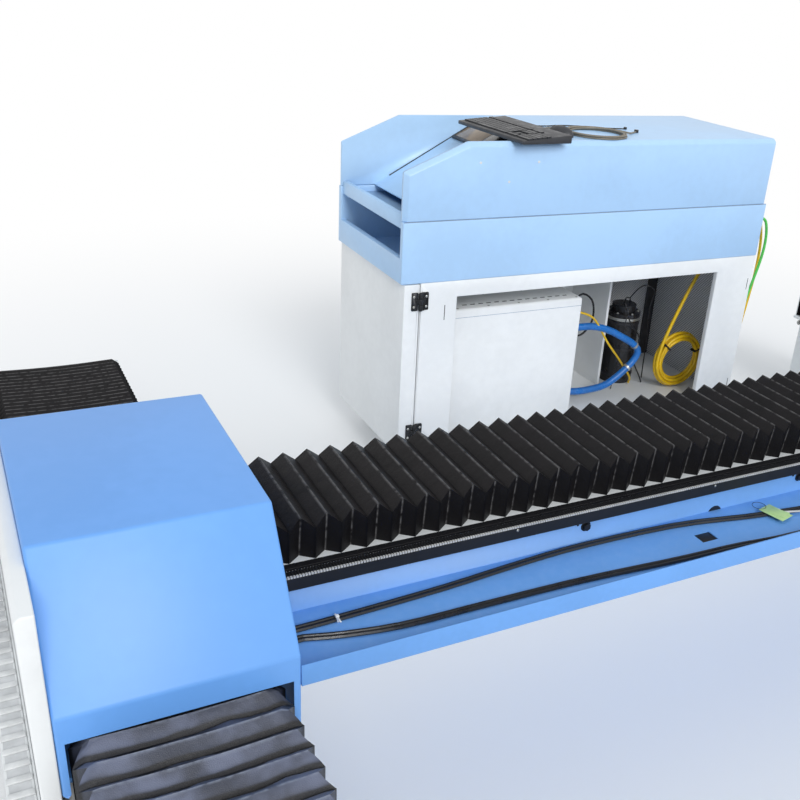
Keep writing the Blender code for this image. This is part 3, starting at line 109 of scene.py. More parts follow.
class Value:
    """A shader socket that takes part in sums, so that masks are written as plain expressions."""

    def __init__(self, shader: "Shader", socket: bpy.types.NodeSocket) -> None:
        """Keep the socket and the shader it belongs to."""
        self.shader = shader
        self.socket = socket

    def math(self, operation: str, *others: "Value | float", first: "float | None" = None) -> "Value":
        """Add one Math node.

        Args:
            operation: the Math node's operation.
            others: the inputs after this one.
            first: a number that goes before this value, for the reflected forms.

        Returns:
            The node's result.
        """
        values = [self, *others] if first is None else [first, self, *others]
        inputs = dict(enumerate(values))
        return self.shader.node("ShaderNodeMath", {"operation": operation}, inputs)

    def __add__(self, other: "Value | float") -> "Value":
        """Sum."""
        return self.math("ADD", other)

    def __radd__(self, other: float) -> "Value":
        """Sum with a number first."""
        return self.math("ADD", first=other)

    def __sub__(self, other: "Value | float") -> "Value":
        """Difference."""
        return self.math("SUBTRACT", other)

    def __rsub__(self, other: float) -> "Value":
        """Difference from a number."""
        return self.math("SUBTRACT", first=other)

    def __mul__(self, other: "Value | float") -> "Value":
        """Product."""
        return self.math("MULTIPLY", other)

    def __rmul__(self, other: float) -> "Value":
        """Product with a number first."""
        return self.math("MULTIPLY", first=other)

    def clamp(self) -> "Value":
        """Keep the value between 0 and 1."""
        return self.shader.node("ShaderNodeClamp", {}, {"Value": self})

    def between(self, low: float, high: float) -> "Value":
        """Rise smoothly from 0 at low to 1 at high.

        Args:
            low: where the rise starts.
            high: where it ends.

        Returns:
            The eased value.
        """
        settings = {"interpolation_type": "SMOOTHSTEP"}
        inputs = {"Value": self, "From Min": low, "From Max": high}
        return self.shader.node("ShaderNodeMapRange", settings, inputs)


class Nodes:
    """A node tree under construction."""

    def __init__(self, tree: bpy.types.NodeTree) -> None:
        """Keep the tree."""
        self.tree = tree

    def connect(self, socket: bpy.types.NodeSocket, given: "Value | float | tuple") -> None:
        """Link a value to a socket, or set it to a number, a vector or a colour.

        Args:
            socket: an input socket.
            given: what goes into it.
        """
        if isinstance(given, Value):
            self.tree.links.new(given.socket, socket)
        else:
            socket.default_value = (*given, 1.0) if socket.type == "RGBA" else given

    def node(self, kind: str, settings: dict, inputs: dict, output: "str | int" = 0) -> Value:
        """Add a node.

        Args:
            kind: the node's type.
            settings: its own settings.
            inputs: numbers, colours or values for its sockets.
            output: which of its outputs is wanted.

        Returns:
            That output as a value.
        """
        made = self.tree.nodes.new(kind)
        for key, setting in settings.items():
            setattr(made, key, setting)
        for key, given in inputs.items():
            self.connect(made.inputs[key], given)
        return Value(self, made.outputs[output])


class Shader(Nodes):
    """One material under construction."""

    def __init__(self, name: str) -> None:
        """Start a material with an empty Principled surface.

        Args:
            name: the material's name.
        """
        self.material = bpy.data.materials.new(name)
        self.material.use_nodes = True
        super().__init__(self.material.node_tree)
        self.surface = self.tree.nodes["Principled BSDF"]

    def place(self) -> Value:
        """Place on the piece, in metres."""
        return self.node("ShaderNodeTexCoord", {}, {}, "Object")

    def stretched(self, scale: tuple) -> Value:
        """Place on the piece, stretched along the axes."""
        return self.node("ShaderNodeMapping", {}, {"Vector": self.place(), "Scale": scale})

    def grain(self, size: float, detail: float = 3.0, where: "Value | None" = None) -> Value:
        """Noise with features of about one size.

        Args:
            size: the features' size in metres.
            detail: how many finer layers are added.
            where: the coordinates, or none for the piece's own.

        Returns:
            The noise, about 0.5 on average.
        """
        inputs = {"Vector": where or self.place(), "Scale": 1.0 / size, "Detail": detail}
        return self.node("ShaderNodeTexNoise", {}, inputs)

    def attribute(self, name: str) -> Value:
        """A number stored on the piece's points."""
        return self.node("ShaderNodeAttribute", {"attribute_name": name}, {}, "Fac")

    def upward(self) -> Value:
        """How far the surface faces up."""
        normal = self.node("ShaderNodeNewGeometry", {}, {}, "Normal")
        return self.node("ShaderNodeSeparateXYZ", {}, {"Vector": normal}, "Z")

    def blend_colours(self, mask: Value, first: "tuple | Value", second: "tuple | Value") -> Value:
        """Mix two colours by a mask."""
        return self.node("ShaderNodeMix", {"data_type": "RGBA"}, {0: mask, 6: first, 7: second}, 2)

    def bump(self, height: Value, depth: float) -> None:
        """Raise the surface by a height pattern of the given depth in metres."""
        inputs = {"Height": height, "Distance": depth, "Strength": 1.0}
        self.feed("Normal", self.node("ShaderNodeBump", {}, inputs))

    def feed(self, socket: str, given: "Value | float | tuple") -> None:
        """Set or link one of the surface's sockets."""
        self.connect(self.surface.inputs[socket], given)


def darker(colour: tuple, share: float) -> tuple:
    """A colour scaled towards black."""
    return tuple(channel * share for channel in colour)


@dataclass(frozen=True)
class PowderCoat:
    """Sprayed powder paint: even colour, a faint orange peel, and dust where it faces up."""

    name: str
    colour: tuple
    dust: tuple = (0.55, 0.55, 0.54)
    roughness: float = 0.42
    dusting: float = 0.05
    cloud: float = 0.35
    peel: float = 0.0025
    peel_depth: float = 0.00004
    shade: float = 0.93

    def make(self) -> bpy.types.Material:
        """Build the material.

        Returns:
            The material.
        """
        shader = Shader(self.name)
        soft = shader.grain(self.cloud, 2.0)
        fine = shader.grain(self.cloud / 12.0, 4.0)
        patches = (soft * 0.7 + fine * 0.3).between(0.38, 0.66)
        paint = shader.blend_colours(patches, darker(self.colour, self.shade), self.colour)
        settled = (shader.upward().between(0.6, 1.0) * fine.between(0.35, 0.75) * self.dusting).clamp()
        shader.feed("Base Color", shader.blend_colours(settled, paint, self.dust))
        shader.feed("Roughness", (self.roughness - 0.04 + soft * 0.08 + settled * 0.6).clamp())
        shader.bump(shader.grain(self.peel, 1.0), self.peel_depth)
        return shader.material


@dataclass(frozen=True)
class BellowsCloth:
    """Coated cloth with a fine weave, with a painted highlight along its ridges, painted shade in its valleys,
    and a lighter film where it faces up that is partly dust and partly painted sheen.
    """

    name: str = "bellows_cloth"
    colour: tuple = (0.0065, 0.0060, 0.0068)
    # colour of the painted highlight along the ridges
    ridge_highlight: tuple = (0.16, 0.155, 0.155)
    # colour of the lighter film where the cloth faces up: dust, and on the rail cloth a painted bluish sheen
    dust: tuple = (0.026, 0.022, 0.024)
    dust_and_sheen: float = 0.25
    gloss: float = 0.12
    # where the painted shade in the valleys starts and ends
    valley_shade_ramp: tuple = (0.0, 1.0)
    weave: float = 0.0014
    # colour of the painted shade in the valleys
    valley_shade: tuple = (0.003, 0.003, 0.004)
    depth: float = 0.00045

    def make(self) -> bpy.types.Material:
        """Build the material.

        Returns:
            The material.
        """
        shader = Shader(self.name)
        crease = shader.attribute("crease")
        valley = shader.attribute("valley")
        ridge_noise = shader.grain(0.012, 4.0)
        haze = shader.grain(0.07, 3.0)
        # Painted highlight along the ridges, broken up by noise.
        ridge_highlight_mask = (crease * ridge_noise.between(0.30, 0.62) * 0.8).clamp()
        # Lighter film on faces that look up: partly dust, partly painted sheen.
        dust_and_sheen = (shader.upward().between(0.0, 0.7) * haze.between(0.30, 0.68) * self.dust_and_sheen).clamp()
        with_dust_and_sheen = shader.blend_colours(dust_and_sheen, self.colour, self.dust)
        # Mix in the painted highlight along the ridges.
        worn = shader.blend_colours(ridge_highlight_mask, with_dust_and_sheen, self.ridge_highlight)
        # Painted shade: the valleys darken towards the valley shade colour.
        shader.feed("Base Color", shader.blend_colours(valley.between(*self.valley_shade_ramp) * 0.94, worn, self.valley_shade))
        shader.feed("Roughness", (0.40 + haze * 0.14 + ridge_highlight_mask * 0.1).clamp())
        shader.feed("Specular IOR Level", self.gloss)
        threads = shader.grain(self.weave, 0.0) + shader.grain(0.02, 3.0) * 1.5 + shader.grain(0.055, 2.0) * 5.0
        shader.bump(threads, self.depth)
        return shader.material


@dataclass(frozen=True)
class Metal:
    """Bare or blackened metal with machining marks along one axis."""

    name: str
    colour: tuple
    roughness: float
    metallic: float = 1.0
    marks: tuple = (4.0, 900.0, 900.0)
    depth: float = 0.00002
    shade: float = 0.78

    def make(self) -> bpy.types.Material:
        """Build the material.

        Returns:
            The material.
        """
        shader = Shader(self.name)
        lines = shader.grain(1.0, 2.0, shader.stretched(self.marks))
        cloud = shader.grain(0.05, 4.0)
        worn = (lines * 0.5 + cloud * 0.5).between(0.3, 0.7)
        shader.feed("Base Color", shader.blend_colours(worn, darker(self.colour, self.shade), self.colour))
        shader.feed("Metallic", self.metallic)
        shader.feed("Roughness", (self.roughness - 0.06 + lines * 0.12 + cloud * 0.06).clamp())
        shader.bump(lines, self.depth)
        return shader.material


@dataclass(frozen=True)
class Moulding:
    """Moulded plastic or rubber with a fine spark-eroded grain."""

    name: str
    colour: tuple
    roughness: float = 0.45
    grain: float = 0.0012
    depth: float = 0.00006
    handled: float = 0.15
    shade: float = 0.82

    def make(self) -> bpy.types.Material:
        """Build the material.

        Returns:
            The material.
        """
        shader = Shader(self.name)
        cloud = shader.grain(0.03, 4.0)
        shade = darker(self.colour, self.shade)
        shader.feed("Base Color", shader.blend_colours(cloud.between(0.3, 0.7), shade, self.colour))
        shader.feed("Roughness", (self.roughness - self.handled * cloud.between(0.45, 0.75)).clamp())
        shader.bump(shader.grain(self.grain, 1.0), self.depth)
        return shader.material


@dataclass(frozen=True)
class PunchedSheet:
    """Thin painted sheet with rows of small round holes, shown by colour and depth."""

    name: str = "punched_sheet"
    colour: tuple = (0.86, 0.87, 0.89)
    shadow: tuple = (0.30, 0.31, 0.33)
    pitch: float = 0.009
    hole: float = 0.0031
    across: str = "X"
    depth: float = 0.0006

    def make(self) -> bpy.types.Material:
        """Build the material.

        Returns:
            The material.
        """
        shader = Shader(self.name)
        side, up = (shader.node("ShaderNodeSeparateXYZ", {}, {"Vector": shader.place()}, way)
                    for way in (self.across, "Z"))
        row = (up * (2.0 / self.pitch)).math("FLOOR").math("MODULO", 2.0).math("ABSOLUTE")
        across = (side * (1.0 / self.pitch) + row * 0.5).math("FRACT") - 0.5
        along = (up * (2.0 / self.pitch)).math("FRACT") - 0.5
        reach = (across * across + along * along * 0.25).math("SQRT")
        radius = self.hole / self.pitch
        open_hole = 1.0 - reach.between(radius * 0.9, radius * 1.1)
        shader.feed("Base Color", shader.blend_colours(open_hole, self.colour, self.shadow))
        shader.feed("Roughness", (0.4 + open_hole * 0.5).clamp())
        shader.bump(1.0 - open_hole, self.depth)
        return shader.material


class Finishes:
    """All the machine's materials, made once and handed out by name."""

    def __init__(self) -> None:
        """Build every finish."""
        finishes = [
            PowderCoat("blue_paint", (0.158, 0.398, 0.872), dusting=0.015),
            PowderCoat("blue_tray_paint", (0.160, 0.395, 0.850), dusting=0.05, cloud=0.18),
            PowderCoat("pale_blue_paint", (0.455, 0.680, 0.950), roughness=0.36, dusting=0.02),
            PowderCoat("white_paint", (0.87, 0.885, 0.885), roughness=0.38),
            BellowsCloth(),
            # The same cloth as the beam's, painted lighter and bluish for the sky's sheen, with a strong
            # painted sheen where it faces up.
            BellowsCloth("rail_bellows_sheen_cloth", (0.038, 0.044, 0.066), (0.22, 0.25, 0.32), (0.150, 0.172, 0.255),
                         dust_and_sheen=0.80, gloss=0.45, valley_shade_ramp=(0.08, 0.50)),
            Metal("ground_steel", (0.60, 0.61, 0.63), 0.30),
            Metal("black_oxide", (0.030, 0.031, 0.035), 0.42, 0.55),
            Metal("tooth_steel", (0.66, 0.66, 0.65), 0.50, 0.25, (30.0, 300.0, 300.0)),
            Metal("milled_plate", (0.42, 0.43, 0.45), 0.38, 0.85, (500.0, 8.0, 500.0)),
            Metal("zinc_plate", (0.55, 0.55, 0.52), 0.36, 0.9),
            Metal("copper_alloy", (0.70, 0.36, 0.19), 0.28, 1.0, (600.0, 600.0, 40.0)),
            Moulding("motor_paint", (0.022, 0.022, 0.026), 0.42, 0.003, 0.00012),
            Moulding("grey_moulding", (0.034, 0.035, 0.040), 0.5),
            Moulding("key_caps", (0.020, 0.021, 0.025), 0.42),
            Moulding("blue_hose_rubber", (0.012, 0.160, 0.520), 0.34, 0.0008),
            Moulding("yellow_jacket", (0.85, 0.54, 0.012), 0.34, 0.0008),
            Moulding("green_jacket", (0.11, 0.62, 0.10), 0.34, 0.0008),
            Moulding("black_jacket", (0.012, 0.012, 0.014), 0.34, 0.0008),
            Moulding("tan_jacket", (0.23, 0.20, 0.155), 0.5, 0.0008),
            Moulding("white_nylon", (0.82, 0.82, 0.80), 0.4),
            Moulding("tag_plastic", (0.55, 0.80, 0.36), 0.4),
            Moulding("duct_plastic", (0.78, 0.79, 0.79), 0.46),
            Moulding("duct_shadow", (0.68, 0.69, 0.70), 0.6),
            Moulding("bay_lining", (0.035, 0.036, 0.040), 0.6),
            Moulding("joint_grey", (0.30, 0.38, 0.50), 0.5),
            Moulding("screen_tan", (0.33, 0.24, 0.16), 0.14, handled=0.04),
            Moulding("screen_dark", (0.018, 0.017, 0.018), 0.14, handled=0.04),
            PunchedSheet(),
            PunchedSheet("punched_wall", (0.87, 0.88, 0.90), pitch=0.012, hole=0.0036, across="Y"),
        ]
        self.made = {finish.name: finish.make() for finish in finishes}

    def __getitem__(self, name: str) -> bpy.types.Material:
        """The material of that name."""
        return self.made[name]


# Modelling by hand


class Bench:
    """Small steps of hand modelling, each on one mesh."""

    @staticmethod
    def clear() -> None:
        """Deselect everything and leave edit mode."""
        if bpy.context.object and bpy.context.object.mode != "OBJECT":
            bpy.ops.object.mode_set(mode="OBJECT")
        bpy.ops.object.select_all(action="DESELECT")

    @staticmethod
    def pick(piece: bpy.types.Object) -> None:
        """Make one object the only selected and active one.

        Args:
            piece: the object.
        """
        Bench.clear()
        piece.select_set(True)
        bpy.context.view_layer.objects.active = piece

    @staticmethod
    @contextmanager
    def editing(piece: bpy.types.Object, action: str = "") -> Iterator[None]:
        """Stay in edit mode for the steps inside.

        Args:
            piece: the mesh to edit.
            action: a select-all action that comes first, if any.
        """
        Bench.pick(piece)
        bpy.ops.object.mode_set(mode="EDIT")
        if action:
            bpy.ops.mesh.select_all(action=action)
        yield
        bpy.ops.object.mode_set(mode="OBJECT")

    @staticmethod
    def choose(piece: bpy.types.Object, kind: str, chosen: list) -> None:
        """Select some faces or edges and nothing else.

        Args:
            piece: the mesh.
            kind: FACE or EDGE.
            chosen: a truth value for each of them.
        """
        with Bench.editing(piece, "DESELECT"):
            bpy.ops.mesh.select_mode(type=kind)
        elements = piece.data.polygons if kind == "FACE" else piece.data.edges
        elements.foreach_set("select", chosen)

    @staticmethod
    def settle(piece: bpy.types.Object, name: str) -> bpy.types.Object:
        """Name a new primitive and put its place into its mesh.

        Args:
            piece: the primitive.
            name: its name.

        Returns:
            The same piece.
        """
        Bench.pick(piece)
        bpy.ops.object.transform_apply(location=True, rotation=True, scale=True)
        piece.name = name
        piece.data.name = name
        return piece

    @staticmethod
    def block(name: str, low: Vector, high: Vector) -> bpy.types.Object:
        """A cube stretched between two corners.

        Args:
            name: the piece's name.
            low: its lowest corner.
            high: its highest corner.

        Returns:
            The piece.
        """
        Bench.clear()
        low, high = Vector(low), Vector(high)
        bpy.ops.mesh.primitive_cube_add(size=1.0, location=(low + high) / 2.0, scale=high - low)
        return Bench.settle(bpy.context.object, name)

    @staticmethod
    def bar(name: str, radius: float, low: Vector, high: Vector, sides: int = 24) -> bpy.types.Object:
        """A cylinder from one point to another.

        Args:
            name: the piece's name.
            radius: the cylinder's radius.
            low: the middle of one end.
            high: the middle of the other.
            sides: how many sides it has.

        Returns:
            The piece.
        """
        Bench.clear()
        low, high = Vector(low), Vector(high)
        way = high - low
        turn = way.to_track_quat("Z", "Y").to_euler()
        bpy.ops.mesh.primitive_cylinder_add(vertices=sides, radius=radius, depth=way.length,
                                            location=(low + high) / 2.0, rotation=turn)
        return Bench.settle(bpy.context.object, name)

    @staticmethod
    def stud(name: str, radius: float, height: float, sides: int, *steps: tuple) -> bpy.types.Object:
        """A low cylinder at the origin that looks up, with steps worked on its top."""
        return Bench.step(Bench.bar(name, radius, (0.0, 0.0, 0.0), (0.0, 0.0, height), sides), Side.UP, *steps)

    @staticmethod
    def round_edges(piece: bpy.types.Object, width: float, segments: int = 2) -> bpy.types.Object:
        """Bevel every sharp edge and shade the rest smooth.

        Args:
            piece: the mesh.
            width: the bevel's width.
            segments: its segments.

        Returns:
            The same piece.
        """
        Bench.pick(piece)
        change = piece.modifiers.new("round", "BEVEL")
        change.width = width
        change.segments = segments
        change.limit_method = "ANGLE"
        change.angle_limit = BEVEL_ANGLE
        bpy.ops.object.modifier_apply(modifier="round")
        bpy.ops.object.shade_smooth_by_angle(angle=SMOOTH_ANGLE)
        return piece

    @staticmethod
    def step(piece: bpy.types.Object, facing: Side, *steps: tuple) -> bpy.types.Object:
        """Work on the outermost face that looks one way: inset it, then raise or sink it.

        Args:
            piece: the mesh to work on.
            facing: the way that the face looks.
            steps: pairs of inset width and height, the height below zero to sink the face.

        Returns:
            The same piece.
        """
        way = Vector(facing.value)
        reaches = [face.center.dot(way) if face.normal.dot(way) > FACING_SHARE else -math.inf
                   for face in piece.data.polygons]
        outer = max(reaches) - LEVEL_GAP
        Bench.choose(piece, "FACE", [reach > outer for reach in reaches])
        with Bench.editing(piece):
            for width, height in steps:
                bpy.ops.mesh.inset(thickness=max(width, LEAST_INSET), depth=height)
        return piece

    @staticmethod
    def taper(piece: bpy.types.Object, facing: Side, scale: tuple) -> bpy.types.Object:
        """Scale the outermost face that looks one way about its own middle.

        Args:
            piece: the mesh.
            facing: the way that the face looks.
            scale: the scale along each axis.

        Returns:
            The same piece.
        """
        with Bench.editing(Bench.step(piece, facing, (LEAST_INSET, 0.0))):
            bpy.ops.transform.resize(value=scale)
        return piece

    @staticmethod
    def cut_below(piece: bpy.types.Object, height: float) -> None:
        """Cut away what lies below a height and close the cut."""
        with Bench.editing(piece, "SELECT"):
            bpy.ops.mesh.bisect(plane_co=(0.0, 0.0, height), plane_no=Side.UP.value,
                                use_fill=True, clear_inner=True)

    @staticmethod
    def plate(name: str, low: tuple, high: tuple, edge: float = 0.0008, segments: int = 2) -> bpy.types.Object:
        """A block with rounded edges."""
        return Bench.round_edges(Bench.block(name, low, high), edge, segments)

    @staticmethod
    def put(piece: bpy.types.Object, place: Matrix) -> bpy.types.Object:
        """Move a mesh that was made at the origin to its place."""
        piece.data.transform(place)
        return piece

    @staticmethod
    def ring(name: str, radius: float, rope: float, place: Matrix, sides: int = 32) -> bpy.types.Object:
        """A torus set at a place, its axis along the place's Z.

        Args:
            name: the piece's name.
            radius: the ring's radius.
            rope: half its thickness.
            place: where it lies.
            sides: its segments round the ring.

        Returns:
            The piece.
        """
        Bench.clear()
        bpy.ops.mesh.primitive_torus_add(major_radius=radius, minor_radius=rope, major_segments=sides,
                                         minor_segments=8)
        piece = Bench.settle(bpy.context.object, name)
        bpy.ops.object.shade_smooth()
        return Bench.put(piece, place)

    @staticmethod
    def join(name: str, parts: list) -> bpy.types.Object:
        """Join several meshes into the first one.

        Args:
            name: the joined piece's name.
            parts: the meshes.

        Returns:
            The joined piece.
        """
        Bench.clear()
        for part in parts:
            part.select_set(True)
        bpy.context.view_layer.objects.active = parts[0]
        if len(parts) > 1:
            bpy.ops.object.join()
        parts[0].name = name
        return parts[0]

    @staticmethod
    def repeat(name: str, model: bpy.types.Object, places: list) -> bpy.types.Object:
        """Copy a model that was made at the origin to each place and join the copies.

        Args:
            name: the joined piece's name.
            model: the mesh to copy; it is used up.
            places: matrices, one for each copy.

        Returns:
            The joined piece.
        """
        shape = bmesh.new()
        for place in places:
            extra = model.data.copy()
            extra.transform(place)
            shape.from_mesh(extra)
            bpy.data.meshes.remove(extra)
        shape.to_mesh(model.data)
        shape.free()
        model.name = name
        return model

    @staticmethod
    def dress(piece: bpy.types.Object, material: bpy.types.Material, body: Body) -> bpy.types.Object:
        """Give a piece its finish and let it ride on a body.

        Args:
            piece: the piece.
            material: its finish.
            body: the body.

        Returns:
            The same piece.
        """
        piece.data.materials.clear()
        piece.data.materials.append(material)
        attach(piece, body.value)
        LOG.info("%s rides on %s", piece.name, body.value)
        return piece


def turned(angle: float) -> Matrix:
    """A turn about the upright axis, in degrees."""
    return Matrix.Rotation(math.radians(angle), 4, "Z")


@dataclass
class FoldedSheet:
    """A CAD sheet-metal node shown with the rounded bends that a press brake leaves."""

    node: str
    body: Body
    bend: float = 0.004
    segments: int = 3
    accents: tuple = ()
    merge: float = 0.00005
    flat: float = 0.5
    sharp: float = 12.0
    smooth: float = 40.0
    least_width: float = 2.2

    def build(self, material: bpy.types.Material) -> bpy.types.Object:
        """Copy the node, merge it, round its outer bends and let it stand for the node.

        Args:
            material: the sheet's paint.

        Returns:
            The finished piece.
        """
        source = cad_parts[self.node]
        piece = source.copy()
        piece.data = source.data.copy()
        piece.parent = None
        piece.matrix_world = Matrix.Identity(4)
        bpy.context.scene.collection.objects.link(piece)
        piece.name = f"{self.node}_sheet"
        with Bench.editing(piece, "SELECT"):
            bpy.ops.mesh.remove_doubles(threshold=self.merge)
            bpy.ops.mesh.dissolve_limited(angle_limit=math.radians(self.flat))
        Bench.choose(piece, "EDGE", self.bends(piece))
        with Bench.editing(piece):
            bpy.ops.mesh.bevel(offset=self.bend, segments=self.segments, affect="EDGES")
        bpy.ops.object.shade_smooth_by_angle(angle=math.radians(self.smooth))
        Bench.dress(piece, material, self.body)
        self.accent(piece)
        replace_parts(piece, self.node)
        return piece

    def accent(self, piece: bpy.types.Object) -> None:
        """Give the faces inside each accent's box that accent's own finish.

        Args:
            piece: the sheet.
        """
        for number, (finish, low, high) in enumerate(self.accents):
            piece.data.materials.append(finish)
            for face in piece.data.polygons:
                if all(low[way] <= face.center[way] <= high[way] for way in range(3)):
                    face.material_index = number + 1

    def bends(self, piece: bpy.types.Object) -> list:
        """Which edges are outward ones between two faces that are both wider than the bend.

        Args:
            piece: the sheet.

        Returns:
            A truth value for each edge.
        """
        shape = bmesh.new()
        shape.from_mesh(piece.data)
        chosen = []
        for edge in shape.edges:
            outward = len(edge.link_faces) == 2 and edge.is_convex
            least = self.bend * self.least_width
            chosen.append(outward and edge.calc_face_angle(0.0) > math.radians(self.sharp)
                          and all(self.width_from(face, edge) > least for face in edge.link_faces))
        shape.free()
        return chosen

    @staticmethod
    def width_from(face: bmesh.types.BMFace, edge: bmesh.types.BMEdge) -> float:
        """How far a face reaches from one of its edges.

        Args:
            face: the face.
            edge: the edge.

        Returns:
            The reach in metres.
        """
        start = edge.verts[0].co
        along = (edge.verts[1].co - start).normalized()
        inward = face.normal.cross(along)
        return max(abs((corner.co - start).dot(inward)) for corner in face.verts)


@dataclass
class Bellows:
    """Pleated cloth cover of one guideway, as one sheet with loose wrinkles, its ridges marked for a painted
    highlight and its valleys for painted shade.
    """

    node: str
    axis: Axis
    fixed: Body
    moving: Body
    moving_high: bool
    folds: int
    wrinkle: float
    depth: float = 0.020
    near_edge: tuple = (0.0, 0.020)
    far_edge: tuple = (0.0, 0.020)
    flare: float = 0.0
    lift: float = 0.0
    # share of the rise where the painted ridge highlight starts
    ridge: float = 0.93
    # how far the painted valley shade reaches from each valley
    valley_shade_width: float = 0.16
    swell: float = 14.0
    sheet: float = 0.0012
    sag: float = 0.004
    stations: tuple = (0.0, 0.12, 0.36, 0.64, 0.88)
    column: float = 0.012
    seed: float = 0.0
    travel_swell: float = 22.0
    fine_swell: float = 3.1
    fine_share: float = 0.40
    sway: float = 0.6
    lift_reach: float = 0.16
    lift_curve: float = 1.5
    hem_margin: float = 0.002
    smooth: float = 50.0

    def build(self, material: bpy.types.Material) -> bpy.types.Object:
        """Fold a grid into the bellows.

        Args:
            material: the coated cloth.

        Returns:
            The finished piece.
        """
        low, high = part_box(self.node)
        along = self.axis.value
        side = 1 - along
        start, end = low[along], high[along]
        near, far, hem, top = low[side], high[side], low[2], high[2]
        skirt = max(3, round((top - hem) / self.column))
        roof = max(6, round((far - near) / self.column))
        columns = 2 * skirt + roof + 1
        shares = [(half + place) / 2.0 for fold in range(self.folds) for half in (2 * fold, 2 * fold + 1)
                  for place in self.stations] + [float(self.folds)]
        Bench.clear()
        bpy.ops.mesh.primitive_grid_add(x_subdivisions=columns - 1, y_subdivisions=len(shares) - 1, size=1.0)
        piece = bpy.context.object
        piece.name = f"{self.node}_cloth"
        mesh = piece.data
        for name in ("crease", "valley"):
            mesh.attributes.new(name, "FLOAT", "POINT")
        crease, valley = mesh.attributes["crease"], mesh.attributes["valley"]
        for row, share in enumerate(shares):
            phase = share % 1.0
            rise = 1.0 - abs(2.0 * phase - 1.0)
            travel = start + (end - start) * share / self.folds
            loose = math.sin(math.pi * rise)
            for column in range(columns):
                across, height, flat = self.profile(column, skirt, roof, near, far, hem, top, rise)
                spot = Vector((across * self.swell, travel * self.travel_swell,
                               height * self.swell + self.seed))
                bulge = noise.noise(spot) + self.fine_share * noise.noise(spot * self.fine_swell)
                wave = bulge * self.wrinkle * loose
                droop = self.sag * math.sin(math.pi * flat) if 0.0 < flat < 1.0 else 0.0
                place = [0.0, 0.0, height]
                place[along] = travel + wave * self.sway * (0.0 if share in (0.0, float(self.folds)) else 1.0)
                place[side] = across
                if 0.0 < flat < 1.0:
                    gap = end - travel if self.moving_high else travel - start
                    raised = self.lift * max(0.0, 1.0 - gap / self.lift_reach) ** self.lift_curve
                    place[2] = height + wave - droop + raised
                elif height > hem + self.hem_margin:
                    place[side] = across + wave * (1.0 if across > (near + far) / 2 else -1.0)
                number = row * columns + column
                mesh.vertices[number].co = place
                # crease marks the ridges for their painted highlight, valley marks the valleys for their
                # painted shade
                crease.data[number].value = max(0.0, rise - self.ridge) / (1.0 - self.ridge)
                valley.data[number].value = max(0.0, self.valley_shade_width - rise) / self.valley_shade_width
        self.thicken(piece)
        piece.data.materials.clear()
        piece.data.materials.append(material)
        LOG.info("%s stretches between %s and %s", piece.name, self.fixed.value, self.moving.value)
        ends = [Vector((0.0, 0.0, 0.0)), Vector((0.0, 0.0, 0.0))]
        ends[0][along], ends[1][along] = (start, end) if self.moving_high else (end, start)
        places = [corner.co[along] for corner in piece.data.vertices]
        for corner, place in zip(piece.data.vertices, places):
            corner.co[along] = self.eased(place, start, end)
        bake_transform(piece)
        for corner, place in zip(piece.data.vertices, places):
            corner.co[along] = place
        piece.data.update()
        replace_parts(piece, self.node)
        return piece

    @staticmethod
    def eased(place: float, start: float, end: float) -> float:
        """Where a fold is put for a moment, at a smooth step's share of the way.

        Args:
            place: the fold's own place along the guideway.
            start: one end of the sheet.
            end: the other end.

        Returns:
            The place at which a smooth step equals the fold's share of the way.
        """
        share = min(max((place - start) / (end - start), 0.0), 1.0)
        return start + (end - start) * (0.5 - math.sin(math.asin(1.0 - 2.0 * share) / 3.0))

    def profile(self, column: int, skirt: int, roof: int, near: float, far: float, hem: float, top: float,
                rise: float) -> tuple:
        """Place of one column in the cross-section at a given fold phase.

        Args:
            column: which column, from the near hem over the roof to the far hem.
            skirt: columns in each skirt.
            roof: columns in the roof.
            near: low side of the guideway.
            far: high side.
            hem: height of the hem.
            top: height of the ridges.
            rise: 0 in a valley, 1 on a ridge.

        Returns:
            Place across, height, and place along the roof from 0 to 1.
        """
        left = near + self.near_edge[0] + (self.near_edge[1] - self.near_edge[0]) * rise
        right = far - self.far_edge[0] - (self.far_edge[1] - self.far_edge[0]) * rise
        roof_height = top - self.depth * (1.0 - rise)
        if column < skirt:
            low_share = 1.0 - column / skirt
            return left + self.flare * rise * low_share, hem + (roof_height - hem) * column / skirt, 0.0
        if column <= skirt + roof:
            share = (column - skirt) / roof
            return left + (right - left) * share, roof_height, share
        return right, roof_height - (roof_height - hem) * (column - skirt - roof) / skirt, 1.0

    def thicken(self, piece: bpy.types.Object) -> None:
        """Turn the folded surface outwards and give the cloth its thickness.

        Args:
            piece: the folded grid.
        """
        with Bench.editing(piece, "SELECT"):
            pass
        middle = piece.data.polygons[len(piece.data.polygons) // 2]
        if middle.normal.z < 0.0:
            with Bench.editing(piece):
                bpy.ops.mesh.flip_normals()
        change = piece.modifiers.new("thickness", "SOLIDIFY")
        change.thickness = self.sheet
        change.offset = -1.0
        bpy.ops.object.modifier_apply(modifier="thickness")
        bpy.ops.object.shade_smooth_by_angle(angle=math.radians(self.smooth))


# Repeated small parts


class HeadKind(Enum):
    """Kinds of fastener head: sides, foot, top and the steps on it, in shares of the radius."""

    HEX = (6, 0.2, 0.9, (0.10, 0.06))
    SOCKET = (18, 0.0, 0.9, (0.12, 0.08), (0.28, 0.0), (0.0, -0.5))
    BUTTON = (18, 0.0, 0.25, (0.18, 0.16), (0.30, 0.06), (0.12, 0.0), (0.0, -0.25))


